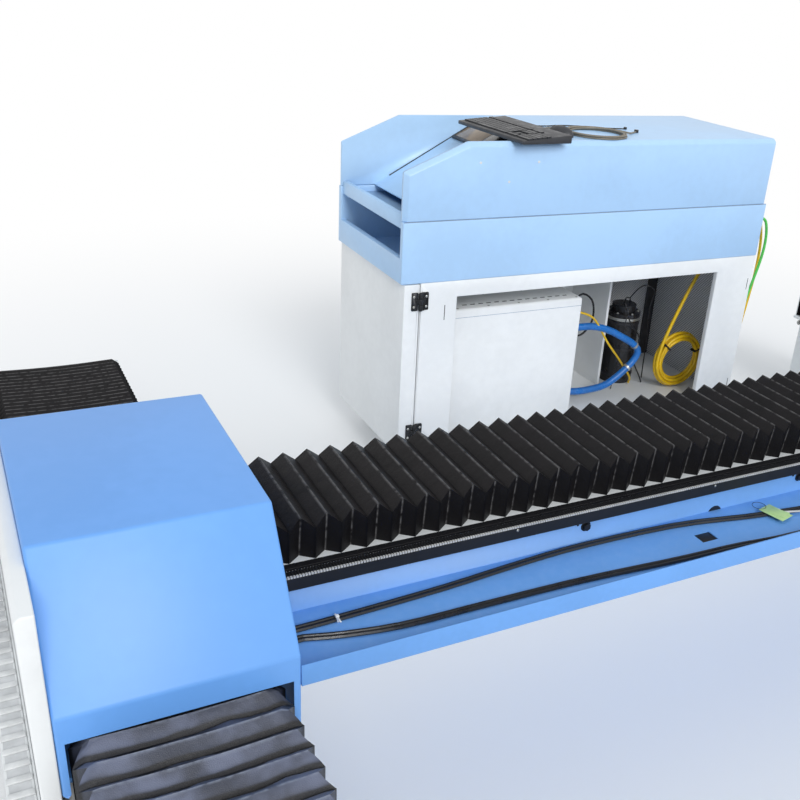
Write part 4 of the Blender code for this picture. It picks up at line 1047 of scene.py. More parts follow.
@dataclass
class Fasteners:
    """Screws or bolts of one kind that ride on one body."""

    name: str
    kind: HeadKind
    radius: float
    places: list
    body: Body
    sunk: float = 0.0002
    washer: tuple = (1.35, 0.22)
    worn: tuple = (0.07, 0.08)

    def build(self, material: bpy.types.Material) -> bpy.types.Object:
        """Model one head, copy it to every place and join the copies.

        Args:
            material: the heads' finish.

        Returns:
            The joined heads.
        """
        model = Bench.put(self.head(), Matrix.Translation((0.0, 0.0, -self.sunk)))
        heads = Bench.repeat(self.name, model, [side.at(place) for place, side in self.places])
        Bench.pick(heads)
        bpy.ops.object.shade_smooth_by_angle(angle=SMOOTH_ANGLE)
        return Bench.dress(heads, material, self.body)

    def head(self) -> bpy.types.Object:
        """One head at the origin; a hexagon head has worn edges and stands on its washer.

        Returns:
            The head.
        """
        sides, foot, top, *steps = self.kind.value
        radius = self.radius
        head = Bench.bar("head", radius, (0.0, 0.0, radius * foot), (0.0, 0.0, radius * top), sides)
        Bench.step(head, Side.UP, *((radius * width, radius * height) for width, height in steps))
        if self.kind is not HeadKind.HEX:
            return head
        wide, thick = self.washer
        washer = Bench.bar("washer", radius * wide, (0.0, 0.0, 0.0), (0.0, 0.0, radius * thick))
        parts = [Bench.round_edges(part, radius * worn, 1) for part, worn in zip((head, washer), self.worn)]
        return Bench.join("hex_head", parts)


@dataclass
class ToothedRack:
    """A rack with cut teeth in place of its plain CAD bar."""

    node: str
    body: Body
    axis: Axis
    facing: Side
    pitch: float = 0.0056549
    height: float = 0.0038
    half: float = 0.36
    bright: float = 0.0045

    def build(self, finishes: Finishes) -> None:
        """Build the bar and its row of teeth, whose ends are ground bright.

        Args:
            finishes: the machine's materials.
        """
        low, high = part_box(self.node)
        low, high = Vector(low), Vector(high)
        along, out = self.axis.value, [abs(part) > 0.5 for part in self.facing.value].index(True)
        grows = self.facing.value[out] > 0.0
        cross = 3 - along - out
        bar_low, bar_high = low.copy(), high.copy()
        if grows:
            bar_high[out] -= self.height
        else:
            bar_low[out] += self.height
        bar = Bench.round_edges(Bench.block(f"{self.node}_bar", bar_low, bar_high), 0.0006, 1)
        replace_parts(Bench.dress(bar, finishes["black_oxide"], self.body), self.node)
        width = high[cross] - low[cross] - 0.001
        bright = self.bright
        rows = ((f"{self.node}_teeth", "black_oxide", bright / 2.0, width - bright),
                (f"{self.node}_tooth_ends", "tooth_steel", (bright - width) / 2.0, bright))
        for name, finish, shift, wide in rows:
            tooth = self.up_tooth(wide) if out == 2 else self.side_tooth(wide)
            places = []
            for number in range(int((high[along] - low[along]) / self.pitch)):
                spot = (low + high) / 2.0
                spot[along] = low[along] + self.pitch * (number + 0.5)
                spot[cross] += shift if out == 2 else -shift
                spot[out] = bar_high[out] if grows else bar_low[out]
                places.append(Matrix.Translation(spot) @ turned(0.0 if grows else 180.0))
            Bench.dress(Bench.repeat(name, tooth, places), finishes[finish], self.body)

    def up_tooth(self, width: float) -> bpy.types.Object:
        """A tooth that looks up, for a rack along X.

        Args:
            width: the tooth's length across the rack.

        Returns:
            The tooth.
        """
        half = self.pitch * self.half
        tooth = Bench.block("tooth", (-half, -width / 2, 0.0), (half, width / 2, self.height))
        return Bench.taper(tooth, Side.UP, (0.42, 0.98, 1.0))

    def side_tooth(self, width: float) -> bpy.types.Object:
        """A tooth that looks along X.

        Args:
            width: the tooth's length across the rack.

        Returns:
            The tooth.
        """
        half = self.pitch * self.half
        tooth = Bench.block("tooth", (0.0, -half, -width / 2), (self.height, half, width / 2))
        return Bench.taper(tooth, Side.RIGHT, (1.0, 0.42, 0.96))


def flowing(points: list, count: int) -> list:
    """Points on one smooth line through the given ones.

    Args:
        points: the places that the line passes.
        count: how many points the line gets.

    Returns:
        The line's points.
    """
    route = [Vector(point) for point in points]
    route = [2.0 * route[0] - route[1], *route, 2.0 * route[-1] - route[-2]]
    spans = len(points) - 1
    line = []
    for number in range(count):
        place = spans * number / (count - 1)
        span = min(int(place), spans - 1)
        t = place - span
        before, start, end, after = route[span:span + 4]
        line.append(0.5 * (2.0 * start + (end - before) * t
                           + (2.0 * before - 5.0 * start + 4.0 * end - after) * t ** 2
                           + (3.0 * start - before - 3.0 * end + after) * t ** 3))
    return line


def straight_ended(points: list, count: int) -> list:
    """A smooth line whose first and last pieces run straight out of their sockets."""
    return [Vector(points[0]), *flowing(points[1:-1], count - 2), Vector(points[-1])]


@dataclass(frozen=True)
class Winding:
    """A cord wound up in two layers: inwards first, then outwards again on top."""

    turns: float
    per_turn: int
    first: float
    sense: float
    start: float
    step: float
    lift: float
    inner: float = 2.0
    crossing: tuple = (1.85, 0.3)

    def places(self) -> list:
        """The wound part, point by point.

        Returns:
            Angle, spread and rise of each point.
        """
        places = []
        for number in range(int(self.turns * self.per_turn) + 1):
            turn = number / self.per_turn
            angle = math.radians(self.first) + self.sense * 2.0 * math.pi * turn
            spread = self.start - self.step * (min(turn, self.inner) - max(turn - self.inner, 0.0))
            crossed = min(max((turn - self.crossing[0]) / self.crossing[1], 0.0), 1.0)
            places.append((angle, spread, self.lift * crossed))
        return places


@dataclass
class Cord:
    """A cable, lead or hose on one smooth line."""

    name: str
    radius: float
    line: list
    finish: str
    body: Body = Body.BASE
    replaced: tuple = ()
    stiffness: str = "medium"
    lay: str = "loose"
    far_end: str = "object"

    def build(self, finishes: "Finishes", with_pieces: tuple = ()) -> bpy.types.Object:
        """Args:
            finishes: the machine's materials.
            with_pieces: what is fixed on the cord; not used.

        Returns:
            The cord.
        """
        data = bpy.data.curves.new(self.name, "CURVE")
        data.dimensions = "3D"
        data.bevel_depth = self.radius
        data.bevel_resolution = 4
        data.use_fill_caps = True
        spline = data.splines.new("POLY")
        spline.points.add(len(self.line) - 1)
        for point, place in zip(spline.points, self.line):
            point.co = (*place, 1.0)
        spline.use_smooth = True
        piece = bpy.data.objects.new(self.name, data)
        bpy.context.scene.collection.objects.link(piece)
        data.materials.append(finishes[self.finish])
        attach(piece, self.body.value)
        if self.replaced:
            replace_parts(piece, *self.replaced)
        length = sum((after - before).length for before, after in zip(self.line, self.line[1:]))
        tuple(self.line[0])
        2.0 * self.radius
        LOG.info("%s is %.2f m long", self.name, length)
        return piece

    def collar(self, index: int, length: float, proud: float, finish: bpy.types.Material) -> bpy.types.Object:
        """A clamp round the cord at one of its inner points.

        Args:
            index: the point's number.
            length: how long the clamp is.
            proud: how far it stands out.
            finish: its finish.

        Returns:
            The clamp.
        """
        before, middle, after = self.line[index - 1:index + 2]
        way = (after - before).normalized() * length / 2
        band = Bench.bar(f"{self.name}_clamp_{index}", self.radius + proud, middle - way, middle + way, 24)
        Bench.round_edges(band, proud * 0.4, 2)
        return Bench.dress(band, finish, self.body)


# The stage


@dataclass
class Studio:
    """Camera, floor and soft light."""

    eye: tuple = (-1.791, -1.1705, 1.65)
    yaw: float = 30.541
    pitch: float = 25.603
    roll: float = -4.812
    lens: float = 43.27
    shift: tuple = (-0.10, 0.0375)
    floor_size: float = 600.0
    fade: tuple = (2.3, 5.5)
    sky: tuple = ((0.90, 0.95, 1.0), 0.73)
    backdrop: tuple = ((1.0, 1.0, 1.0), 1.0)
    key: tuple = ((-0.10, -1.0, 0.60), 1.62, 24.0)

    def build(self) -> None:
        """Set up the whole stage."""
        self.camera()
        self.floor()
        self.light()
        bpy.context.scene.view_settings.view_transform = "Standard"

    def camera(self) -> None:
        """Put the camera where the photographer stood."""
        yaw, pitch, roll = (math.radians(angle) for angle in (self.yaw, self.pitch, self.roll))
        ahead = Vector((math.sin(yaw) * math.cos(pitch), math.cos(yaw) * math.cos(pitch), -math.sin(pitch)))
        level = Vector((math.cos(yaw), -math.sin(yaw), 0.0))
        down = ahead.cross(level)
        right = level * math.cos(roll) + down * math.sin(roll)
        lower = down * math.cos(roll) - level * math.sin(roll)
        data = bpy.data.cameras.new("photo_camera")
        data.lens = self.lens
        data.sensor_width = 36.0
        data.sensor_fit = "HORIZONTAL"
        data.shift_x, data.shift_y = self.shift
        data.clip_end = 200.0
        camera = bpy.data.objects.new("photo_camera", data)
        turn = Matrix((right, -lower, -ahead)).transposed().to_4x4()
        camera.matrix_world = Matrix.Translation(self.eye) @ turn
        bpy.context.scene.collection.objects.link(camera)
        bpy.context.scene.camera = camera

    def floor(self) -> None:
        """A plain pale floor that fades to white in the camera's view, and keeps the shadow."""
        Bench.clear()
        bpy.ops.mesh.primitive_plane_add(size=self.floor_size, location=(0.0, 0.0, 0.0))
        floor = Bench.settle(bpy.context.object, "studio_floor")
        shader = Shader("studio_floor")
        shader.feed("Base Color", (0.90, 0.90, 0.90))
        shader.feed("Roughness", 0.6)
        glow = shader.node("ShaderNodeEmission", {}, {"Color": (1.0, 1.0, 1.0), "Strength": 1.0})
        far = shader.node("ShaderNodeVectorMath", {"operation": "LENGTH"}, {0: shader.place()}, "Value")
        painted = Value(shader, shader.surface.outputs[0])
        mixed = shader.node("ShaderNodeMixShader", {}, {0: far.between(*self.fade), 1: painted, 2: glow})
        shader.connect(shader.tree.nodes["Material Output"].inputs[0], mixed)
        floor.data.materials.append(shader.material)

    def light(self) -> None:
        """Even sky light, white to the eye and in reflections, and one broad soft key."""
        world = bpy.data.worlds.new("studio_world")
        bpy.context.scene.world = world
        world.use_nodes = True
        nodes = Nodes(world.node_tree)
        nodes.tree.nodes.clear()
        camera, glossy, through = (nodes.node("ShaderNodeLightPath", {}, {}, f"Is {kind} Ray")
                                   for kind in ("Camera", "Glossy", "Transmission"))
        seen = camera.math("MAXIMUM", glossy).math("MAXIMUM", through)
        plain, white = (nodes.node("ShaderNodeBackground", {}, {"Color": colour, "Strength": strength})
                        for colour, strength in (self.sky, self.backdrop))
        mixed = nodes.node("ShaderNodeMixShader", {}, {0: seen, 1: plain, 2: white})
        nodes.connect(nodes.tree.nodes.new("ShaderNodeOutputWorld").inputs[0], mixed)
        self.sun("key_sun", *self.key)

    @staticmethod
    def sun(name: str, towards: tuple, strength: float, spread: float) -> None:
        """A soft distant light.

        Args:
            name: the light's name.
            towards: the direction that the light comes from.
            strength: its power.
            spread: its apparent size in degrees.
        """
        data = bpy.data.lights.new(name, "SUN")
        data.energy = strength
        data.angle = math.radians(spread)
        lamp = bpy.data.objects.new(name, data)
        lamp.matrix_world = Vector(towards).to_track_quat("Z", "Y").to_matrix().to_4x4()
        bpy.context.scene.collection.objects.link(lamp)


@dataclass
class CadFinishes:
    """Which finish each CAD node that stays in view is given."""

    plain: dict = field(default_factory=lambda: {
        "ground_steel": ("left_guide_rail", "right_guide_rail", "left_guide_block", "right_guide_block",
                         "beam_front_guide_rail", "beam_rear_guide_rail", "saddle_front_guide_block",
                         "saddle_rear_guide_block", "vertical_screw", "left_pinion", "right_pinion",
                         "saddle_pinion"),
        "milled_plate": ("left_carriage_plate", "right_carriage_plate", "head_saddle", "vertical_slide"),
        "motor_paint": ("left_drive", "right_drive", "saddle_drive", "vertical_motor"),
        "copper_alloy": ("nozzle",),
        "grey_moulding": ("laser_head",),
        "punched_sheet": ("perforated_panel",),
        "black_jacket": ("tray_cable_back_a", "tray_cable_back_b", "tray_cable_front_a", "tray_cable_front_b",
                         "chiller_pump"),
        "white_paint": ("bellows_slide_strip",),
    })

    def build(self, finishes: Finishes) -> None:
        """Give every listed node its finish.

        Args:
            finishes: the machine's materials.
        """
        for finish, nodes in self.plain.items():
            for node in nodes:
                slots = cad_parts[node].data.materials
                slots.clear()
                slots.append(finishes[finish])


# The fittings


class Slab(NamedTuple):
    """A flat part: two corners, the width of its rounded edges, and their segments."""

    low: tuple
    high: tuple
    edge: float = 0.0008
    segments: int = 2

    def moved(self, *way: float) -> "Slab":
        """The same slab in another place."""
        corners = [tuple(map(sum, zip(corner, way))) for corner in (self.low, self.high)]
        return Slab(*corners, self.edge, self.segments)


@dataclass
class Group:
    """The fittings of one sub-assembly, with the steps that they all use."""

    finishes: Finishes
    body: Body = Body.BASE

    def dress(self, piece: bpy.types.Object, finish: str, body: "Body | None" = None) -> bpy.types.Object:
        """Give a piece its finish and let it ride on the group's body, or on another."""
        return Bench.dress(piece, self.finishes[finish], body or self.body)

    def plates(self, name: str, finish: str, *slabs: Slab) -> bpy.types.Object:
        """Build slabs as one piece and dress it."""
        return self.dress(Bench.join(name, [Bench.plate(name, *slab) for slab in slabs]), finish)

    def bands(self, name: str, finish: str, centre: tuple, rows: tuple) -> bpy.types.Object:
        """Build low rounded cylinders on one upright axis as one piece.

        Args:
            name: the piece's name.
            finish: its finish.
            centre: where the axis stands on the floor.
            rows: radius, foot and top of each cylinder.

        Returns:
            The piece.
        """
        bands = [Bench.round_edges(Bench.bar(name, radius, (*centre, foot), (*centre, top), 40), 0.0012)
                 for radius, foot, top in rows]
        return self.dress(Bench.join(name, bands), finish)

    def screws(self, name: str, kind: HeadKind, radius: float, finish: str, places: list,
               body: "Body | None" = None) -> None:
        """Build fasteners at pairs of place and side, on the group's body or on another."""
        Fasteners(name, kind, radius, places, body or self.body).build(self.finishes[finish])


@dataclass
class BeamFittings(Group):
    """What lies on the cross beam and in its tray: dark band, tray bolts, plugs, tie and tag."""

    body: Body = Body.GANTRY
    band_width: float = 0.0150
    band_sheet: float = 0.0005
    band_margin: float = 0.001
    band_fold: float = 0.004
    bolt_xs: tuple = (-0.672, -0.038, 0.596, 1.230)
    bolt_z: float = 0.586
    bolt_radius: float = 0.0092
    wall_y: float = 0.2457
    rack_screw_xs: tuple = (-0.860, -0.336, 0.188, 1.1)
    rack_screw_z: float = 0.6300
    rack_screw_radius: float = 0.0030
    rack_depth: float = 0.0223
    plug_size: tuple = (0.0032, 0.0008)
    plug_shift: tuple = (-0.021, 0.007)
    plug_step: tuple = (0.0008, 0.0003)
    dome_x: float = -0.2995
    dome_radius: float = 0.0210
    dome_drop: float = 0.0090
    dome_proud: float = 0.0008
    tray_floor: float = 0.5455
    # dark plate under the tray's slot: painted shade, so the bright floor does not show through the slot
    slot_shade_plate: Slab = Slab((-0.436, 0.128, 0.5396), (-0.362, 0.194, 0.5427), 0.001)
    tie_x: float = -1.260
    tie_loop: Slab = Slab((-0.0026, 0.1816, 0.0002), (0.0026, 0.2012, 0.0092), 0.0022)
    tie_head: Slab = Slab((-0.0036, 0.1860, 0.0082), (0.0036, 0.1930, 0.0128))
    tie_tail: Slab = Slab((-0.0018, 0.1700, 0.0096), (0.0018, 0.1870, 0.0108), 0.0005)
    tag_corner: tuple = (-0.180, 0.172, 0.5542)
    tag_turn: float = 104.0
    tag_card: Slab = Slab((-0.034, -0.022, 0.0), (0.030, 0.022, 0.0014), 0.0005)
    tag_fold: Slab = Slab((-0.030, -0.018, 0.0016), (0.012, 0.014, 0.0026), 0.0004)
    fold_turn: float = 14.0
    strap: Slab = Slab((-0.0035, -0.094, 0.0001), (0.0035, -0.012, 0.0012), 0.0004)
    strap_turn: float = -30.0
    eyelet_size: tuple = (0.0042, 0.0009)
    eyelet_place: tuple = (0.0, -0.0165, 0.0016)
    wire_size: tuple = (0.016, 0.0006)
    wire_place: tuple = (0.040, 0.006, 0.0014)

    def build(self) -> None:
        """Build every fitting."""
        self.band()
        bolts = [((x, self.wall_y, self.bolt_z), Side.FRONT) for x in self.bolt_xs]
        self.screws("tray_bolts", HeadKind.HEX, self.bolt_radius, "black_oxide", bolts)
        dots = [((x, self.wall_y - self.rack_depth, self.rack_screw_z), Side.FRONT) for x in self.rack_screw_xs]
        self.screws("rack_screws", HeadKind.BUTTON, self.rack_screw_radius, "zinc_plate", dots)
        self.plugs()
        self.outlet()
        self.plates("slot_shade_plate", "black_jacket", self.slot_shade_plate)
        parts = (self.tie_loop, self.tie_head, self.tie_tail)
        slabs = [slab.moved(self.tie_x, 0.0, self.tray_floor) for slab in parts]
        self.plates("cable_tie", "white_nylon", *slabs)
        self.tag()

    def band(self) -> None:
        """Dark band along the front of the slide strip, folded down over its edge."""
        low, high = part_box("bellows_slide_strip")
        sheet, margin = self.band_sheet, self.band_margin
        band = Bench.block("strip_band", (low[0] + margin, low[1] - sheet, high[2] - self.band_fold),
                           (high[0] - margin, low[1] + self.band_width, high[2] + sheet))
        self.dress(Bench.round_edges(band, 0.0002, 1), "black_jacket")

    def plugs(self) -> None:
        """Small round plugs beside the bolts."""
        model = Bench.stud("plug", *self.plug_size, 16, self.plug_step)
        across, up = self.plug_shift
        places = [Side.FRONT.at((x + across, self.wall_y, self.bolt_z + up)) for x in self.bolt_xs]
        self.dress(Bench.repeat("tray_plugs", model, places), "black_jacket")

    def outlet(self) -> None:
        """The half-round outlet at the tray's crease."""
        z = self.tray_floor - self.dome_drop
        outlet = Bench.bar("tray_outlet", self.dome_radius, (self.dome_x, self.wall_y - self.dome_proud, z),
                           (self.dome_x, self.wall_y, z), 40)
        Bench.cut_below(outlet, self.tray_floor + 0.0002)
        self.dress(outlet, "black_jacket")

    def tag(self) -> None:
        """Blank tag with its strap and wire, laid across the cables."""
        place = Matrix.Translation(self.tag_corner) @ turned(self.tag_turn)
        card = Bench.plate("tag_card", *self.tag_card)
        fold = Bench.put(Bench.plate("tag_fold", *self.tag_fold), turned(self.fold_turn))
        self.dress(Bench.put(Bench.join("cable_tag", [card, fold]), place), "tag_plastic")
        strap = Bench.put(Bench.plate("tag_strap", *self.strap), turned(self.strap_turn))
        hole = Bench.ring("tag_eyelet", *self.eyelet_size, Matrix.Translation(self.eyelet_place), 20)
        self.dress(Bench.put(Bench.join("tag_strap", [strap, hole]), place), "white_nylon")
        wire = Bench.ring("tag_wire", *self.wire_size, place @ Matrix.Translation(self.wire_place), 40)
        self.dress(wire, "black_jacket")


@dataclass
class ConsoleFittings(Group):
    """Small parts of the console's shell: display, seams, plugs, hinge screws and side cables."""

    near: float = 1.5165
    inner: float = 2.0485
    panel_foot: tuple = (-0.413, 0.926)
    panel_head: tuple = (0.019, 1.163)
    bezel: tuple = ((0.330, -0.318, 0.0003), (0.446, -0.018, 0.0100))
    bezel_steps: tuple = ((0.008, 0.0), (0.0005, -0.002))
    panes: tuple = (
        ("display_glass", "screen_tan", Slab((0.3390, -0.199, 0.0076), (0.4370, -0.027, 0.0086), 0.0004)),
        ("display_side", "screen_dark", Slab((0.3390, -0.309, 0.0076), (0.4370, -0.201, 0.0086), 0.0004)),
        # dark strip of painted shade in the groove between the sloped panel and the far wall
        ("panel_groove_shade", "black_jacket", Slab((0.060, -0.0085, 0.0002), (0.470, -0.0006, 0.0014), 0.0004)),
    )
    ring_joint: Slab = Slab((-0.539, 1.5161, 0.9208), (0.973, 1.5177, 0.9228), 0.0003, 1)
    post_slits: tuple = (
        Slab((-0.381, 1.5160, 0.590), (-0.3784, 1.5173, 0.642), 0.0004),
        Slab((0.956, 1.5160, 0.585), (0.9586, 1.5173, 0.631), 0.0004),
        Slab((0.956, 1.5160, 0.160), (0.9586, 1.5173, 0.205), 0.0004),
    )
    plug_size: tuple = (0.0042, 0.0010)
    plug_steps: tuple = ((0.0010, 0.0005), (0.0012, -0.0004))
    plug_places: tuple = ((-0.284, 1.100), (-0.175, 1.038), (-0.069, 1.099))
    hinge_x: float = -0.4725
    hinge_zs: tuple = (0.1905, 0.6625)
    hinge_proud: float = 0.004
    screw_reach: tuple = (0.0222, 0.017)
    screw_radius: float = 0.0042
    cord_radius: float = 0.0055
    cord_lean: float = 0.030
    gland: tuple = (0.9873, 0.862)
    cord_end: tuple = (0.9573, 0.060)
    cord_routes: tuple = (
        ("green", 0.036, (
            (0.0, 0.0), (0.010, 0.0), (0.045, -0.022), (0.066, -0.090), (0.064, -0.180), (0.030, -0.345),
            (0.014, -0.480), (0.014, -0.620), (0.018, -0.730), (0.010, -0.785), (-0.012, -0.802))),
        ("yellow", 0.070, (
            (0.0, 0.0), (0.010, 0.0), (0.050, -0.028), (0.078, -0.120), (0.084, -0.240), (0.074, -0.380),
            (0.060, -0.520), (0.050, -0.660), (0.032, -0.765), (0.012, -0.795), (-0.012, -0.802))),
    )

    def build(self) -> None:
        """Build every fitting."""
        self.display()
        self.plates("ring_joint", "joint_grey", self.ring_joint)
        self.plates("post_slits", "black_jacket", *self.post_slits)
        model = Bench.stud("plug", *self.plug_size, 18, *self.plug_steps)
        places = [Side.FRONT.at((x, self.near, z)) for x, z in self.plug_places]
        self.dress(Bench.repeat("shell_plugs", model, places), "white_nylon")
        self.hinge_screws()
        self.side_cords()

    def panel_frame(self) -> Matrix:
        """The sloped panel's own frame at its far wall: up the slope, across it, and out of it.

        Returns:
            The frame.
        """
        foot, head = (Vector((x, self.inner, z)) for x, z in (self.panel_foot, self.panel_head))
        up, across = (head - foot).normalized(), Vector((0.0, 1.0, 0.0))
        return Matrix.Translation(foot) @ Matrix((up, across, up.cross(across))).transposed().to_4x4()

    def display(self) -> None:
        """Screen in its bezel near the head of the sloped panel, and a dark strip of painted shade in the
        groove along the far wall.
        """
        place = self.panel_frame()
        bezel = Bench.round_edges(Bench.block("display_bezel", *self.bezel), 0.003, 3)
        Bench.step(bezel, Side.UP, *self.bezel_steps)
        self.dress(Bench.put(bezel, place), "grey_moulding")
        for name, finish, slab in self.panes:
            self.dress(Bench.put(Bench.plate(name, *slab), place), finish)

    def hinge_screws(self) -> None:
        """Four light screws on each of the door's hinges, two on the door's leaf and two on the base's."""
        across, up = self.screw_reach
        for body, way, name in ((Body.DOOR, -1, "door_leaf_screws"), (Body.BASE, 1, "base_leaf_screws")):
            places = [((self.hinge_x + way * across, self.near - self.hinge_proud, z + rise), Side.FRONT)
                      for z in self.hinge_zs for rise in (-up, up)]
            self.screws(name, HeadKind.BUTTON, self.screw_radius, "zinc_plate", places, body)

    def side_cords(self) -> None:
        """The green and yellow cables that hang down the right end."""
        (x, z), (end_x, end_z) = self.gland, self.cord_end
        for colour, offset, route in self.cord_routes:
            y, steps = self.near + offset, len(route) - 2
            points = [(x + out, y + self.cord_lean * min(max((number - 1) / steps, 0.0), 1.0), z + fall)
                      for number, (out, fall) in enumerate(route)]
            points.append((end_x, y + self.cord_lean, end_z))
            Cord(f"{colour}_cord", self.cord_radius, straight_ended(points, 40), f"{colour}_jacket",
                 replaced=(f"{colour}_cable",), lay="hanging").build(self.finishes)


@dataclass
class DeskThings(Group):
    """Keyboard, mouse and their leads on the console's roof."""

    roof: float = 1.1633
    board_place: tuple = (-0.086, 1.6665)
    board_turn: float = -1.514
    board_size: tuple = (0.40, 0.19)
    board_rise: tuple = (0.012, 0.026)
    case_edge: tuple = (0.0028, 3)
    key_edge: tuple = (0.0008, 1)
    key: tuple = ((-0.0078, -0.0080, -0.001), (0.0078, 0.0080, 0.0042))
    key_taper: tuple = (0.80, 0.78, 1.0)
    key_pitch: tuple = (0.0172, 0.0182)
    key_margin: tuple = (0.012, 0.026)
    key_gap: float = 0.006
    key_columns: tuple = (15, 3, 4)
    key_rows: tuple = ((0, 1, 2, 3, 4, 5), (0, 3, 4, 5), (0, 1, 2, 3, 4))
    space_columns: tuple = (4, 9)
    space_stretch: float = 6.4
    mouse_place: tuple = (0.071, 1.6195)
    mouse_turn: float = 0.35
    mouse_half: tuple = (0.029, 0.0505, 0.0285)
    mouse_cut: float = -0.16
    mouse_lift: float = 0.0048
    wheel_radius: float = 0.0085
    wheel_ends: tuple = ((-0.0032, 0.026, 0.0225), (0.0032, 0.026, 0.0225))
    mouse_lead: float = 0.0030
    lead_start: tuple = ((0.0535, 1.668, 0.006), (0.049, 1.690, 0.0045), (0.068, 1.736, 0.003),
                         (0.130, 1.762, 0.003), (0.200, 1.748, 0.003))
    lead_end: tuple = ((0.385, 1.640, 0.0035), (0.425, 1.668, 0.003))
    lead_leave: tuple = ((0.02, (0.003, 0.0, -0.0005)), (0.045, (0.012, 0.0, -0.003)))
    coil_place: tuple = (0.226, 1.6320)
    coil_radius: float = 0.097
    coil: Winding = Winding(turns=4.2, per_turn=40, first=88.0, sense=-1.0,
                            start=0.0105, step=0.007, lift=0.0065)
    board_lead: float = 0.0019
    board_lead_route: tuple = (
        (0.0175, 1.800, 0.014), (0.030, 1.802, 0.0125), (0.060, 1.806, 0.004), (0.120, 1.800, 0.0019),
        (0.200, 1.812, 0.0019), (0.280, 1.790, 0.0019), (0.350, 1.752, 0.0019), (0.425, 1.735, 0.0019))
    boots: tuple = (((0.425, 1.668), 0.008, 0.010), ((0.425, 1.735), 0.006, 0.008))
    boot_taper: tuple = (0.62, 0.62, 1.0)

    def build(self) -> None:
        """Build the desk things."""
        self.keyboard()
        self.mouse()
        self.mouse_cord()
        Cord("keyboard_lead", self.board_lead, flowing(self.on_roof(self.board_lead_route), 32),
             "black_jacket").build(self.finishes)
        self.outlets()

    def on_roof(self, places: tuple) -> list:
        """Places whose heights are counted from the roof."""
        return [Vector((x, y, self.roof + z)) for x, y, z in places]

    def board_frame(self) -> Matrix:
        """The keyboard's place on the roof."""
        return Matrix.Translation((*self.board_place, self.roof)) @ Matrix.Rotation(self.board_turn, 4, "Z")

    def keyboard(self) -> None:
        """Wedge-shaped case with a sunk deck and rows of keys."""
        (length, width), (front, back) = self.board_size, self.board_rise
        case = Bench.block("keyboard_case", (-length / 2, -width / 2, 0.0), (length / 2, width / 2, front))
        raised = [corner.co.z > 0.001 and corner.co.y > 0.0 for corner in case.data.vertices]
        Bench.choose(case, "EDGE", [all(raised[end] for end in edge.vertices) for edge in case.data.edges])
        with Bench.editing(case):
            bpy.ops.transform.translate(value=(0.0, 0.0, back - front))
        Bench.round_edges(case, *self.case_edge)
        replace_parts(self.dress(Bench.put(case, self.board_frame()), "grey_moulding"), "keyboard")
        key = Bench.taper(Bench.block("key", *self.key), Side.UP, self.key_taper)
        Bench.round_edges(key, *self.key_edge)
        tilt = Matrix.Rotation(math.atan2(back - front, width), 4, "X")
        deck = self.board_frame() @ Matrix.Translation((0.0, 0.0, (front + back) / 2)) @ tilt
        keys = Bench.repeat("keyboard_keys", key, [deck @ spot for spot in self.key_spots()])
        self.dress(keys, "key_caps")

    def key_spots(self) -> list:
        """Where the keys stand on the deck, with the space bar stretched.

        Returns:
            One matrix for each key.
        """
        (across, up), gap = self.key_pitch, self.key_gap
        start, low = (margin - size / 2 for margin, size in zip(self.key_margin, self.board_size))
        spots, left, block_starts = [], start, []
        for block, (count, rows) in enumerate(zip(self.key_columns, self.key_rows)):
            block_starts.append(left)
            for row in rows:
                y = low + row * up + (gap if row == 5 else 0.0)
                for column in range(count):
                    if block or row or not self.space_columns[0] <= column <= self.space_columns[1]:
                        spots.append(Matrix.Translation((left + across * (column + 0.5), y, 0.0)))
            left += count * across + gap
        stretch = Matrix.Diagonal((self.space_stretch, 1.0, 1.0, 1.0))
        spots.append(Matrix.Translation((start + across * 7.0, low, 0.0)) @ stretch)
        spots.append(Matrix.Translation((block_starts[1] + 1.5 * across, low + up, 0.0)))
        return spots

    def mouse(self) -> None:
        """Domed mouse with a wheel."""
        place = Matrix.Translation((*self.mouse_place, self.roof)) @ Matrix.Rotation(self.mouse_turn, 4, "Z")
        Bench.clear()
        bpy.ops.mesh.primitive_uv_sphere_add(segments=40, ring_count=20, radius=1.0)
        shell = Bench.settle(bpy.context.object, "mouse_shell")
        Bench.cut_below(shell, self.mouse_cut)
        lift = Matrix.Translation((0.0, 0.0, self.mouse_lift))
        Bench.put(shell, lift @ Matrix.Diagonal((*self.mouse_half, 1.0)))
        bpy.ops.object.shade_smooth_by_angle(angle=math.radians(50.0))
        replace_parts(self.dress(Bench.put(shell, place), "grey_moulding"), "mouse")
        wheel = Bench.round_edges(Bench.bar("mouse_wheel", self.wheel_radius, *self.wheel_ends), 0.0012)
        self.dress(Bench.put(wheel, place), "black_jacket")

    def mouse_cord(self) -> None:
        """The mouse's long lead, wound up beside it."""
        (x, y), z = self.coil_place, self.roof + self.mouse_lead
        line = flowing(self.on_roof(self.lead_start), 18)
        for angle, spread, rise in self.coil.places():
            reach = self.coil_radius + spread
            line.append(Vector((x + reach * math.cos(angle), y + reach * math.sin(angle), z + rise)))
        last = line[-1]
        away = (last - line[-2]).normalized()
        leave = [last + away * share + Vector(shift) for share, shift in self.lead_leave]
        line += flowing([last, *leave, *self.on_roof(self.lead_end)], 16)[1:]
        Cord("mouse_lead", self.mouse_lead, line, "tan_jacket", replaced=("lead_coil",),
             lay="coiled").build(self.finishes)

    def outlets(self) -> None:
        """The tapered boots where the two leads go back into the roof."""
        boots = []
        for spot, radius, height in self.boots:
            boot = Bench.bar("boot", radius, (*spot, self.roof + 0.0001), (*spot, self.roof + height), 20)
            boots.append(Bench.round_edges(Bench.taper(boot, Side.UP, self.boot_taper), 0.0008))
        self.dress(Bench.join("lead_boots", boots), "black_jacket")


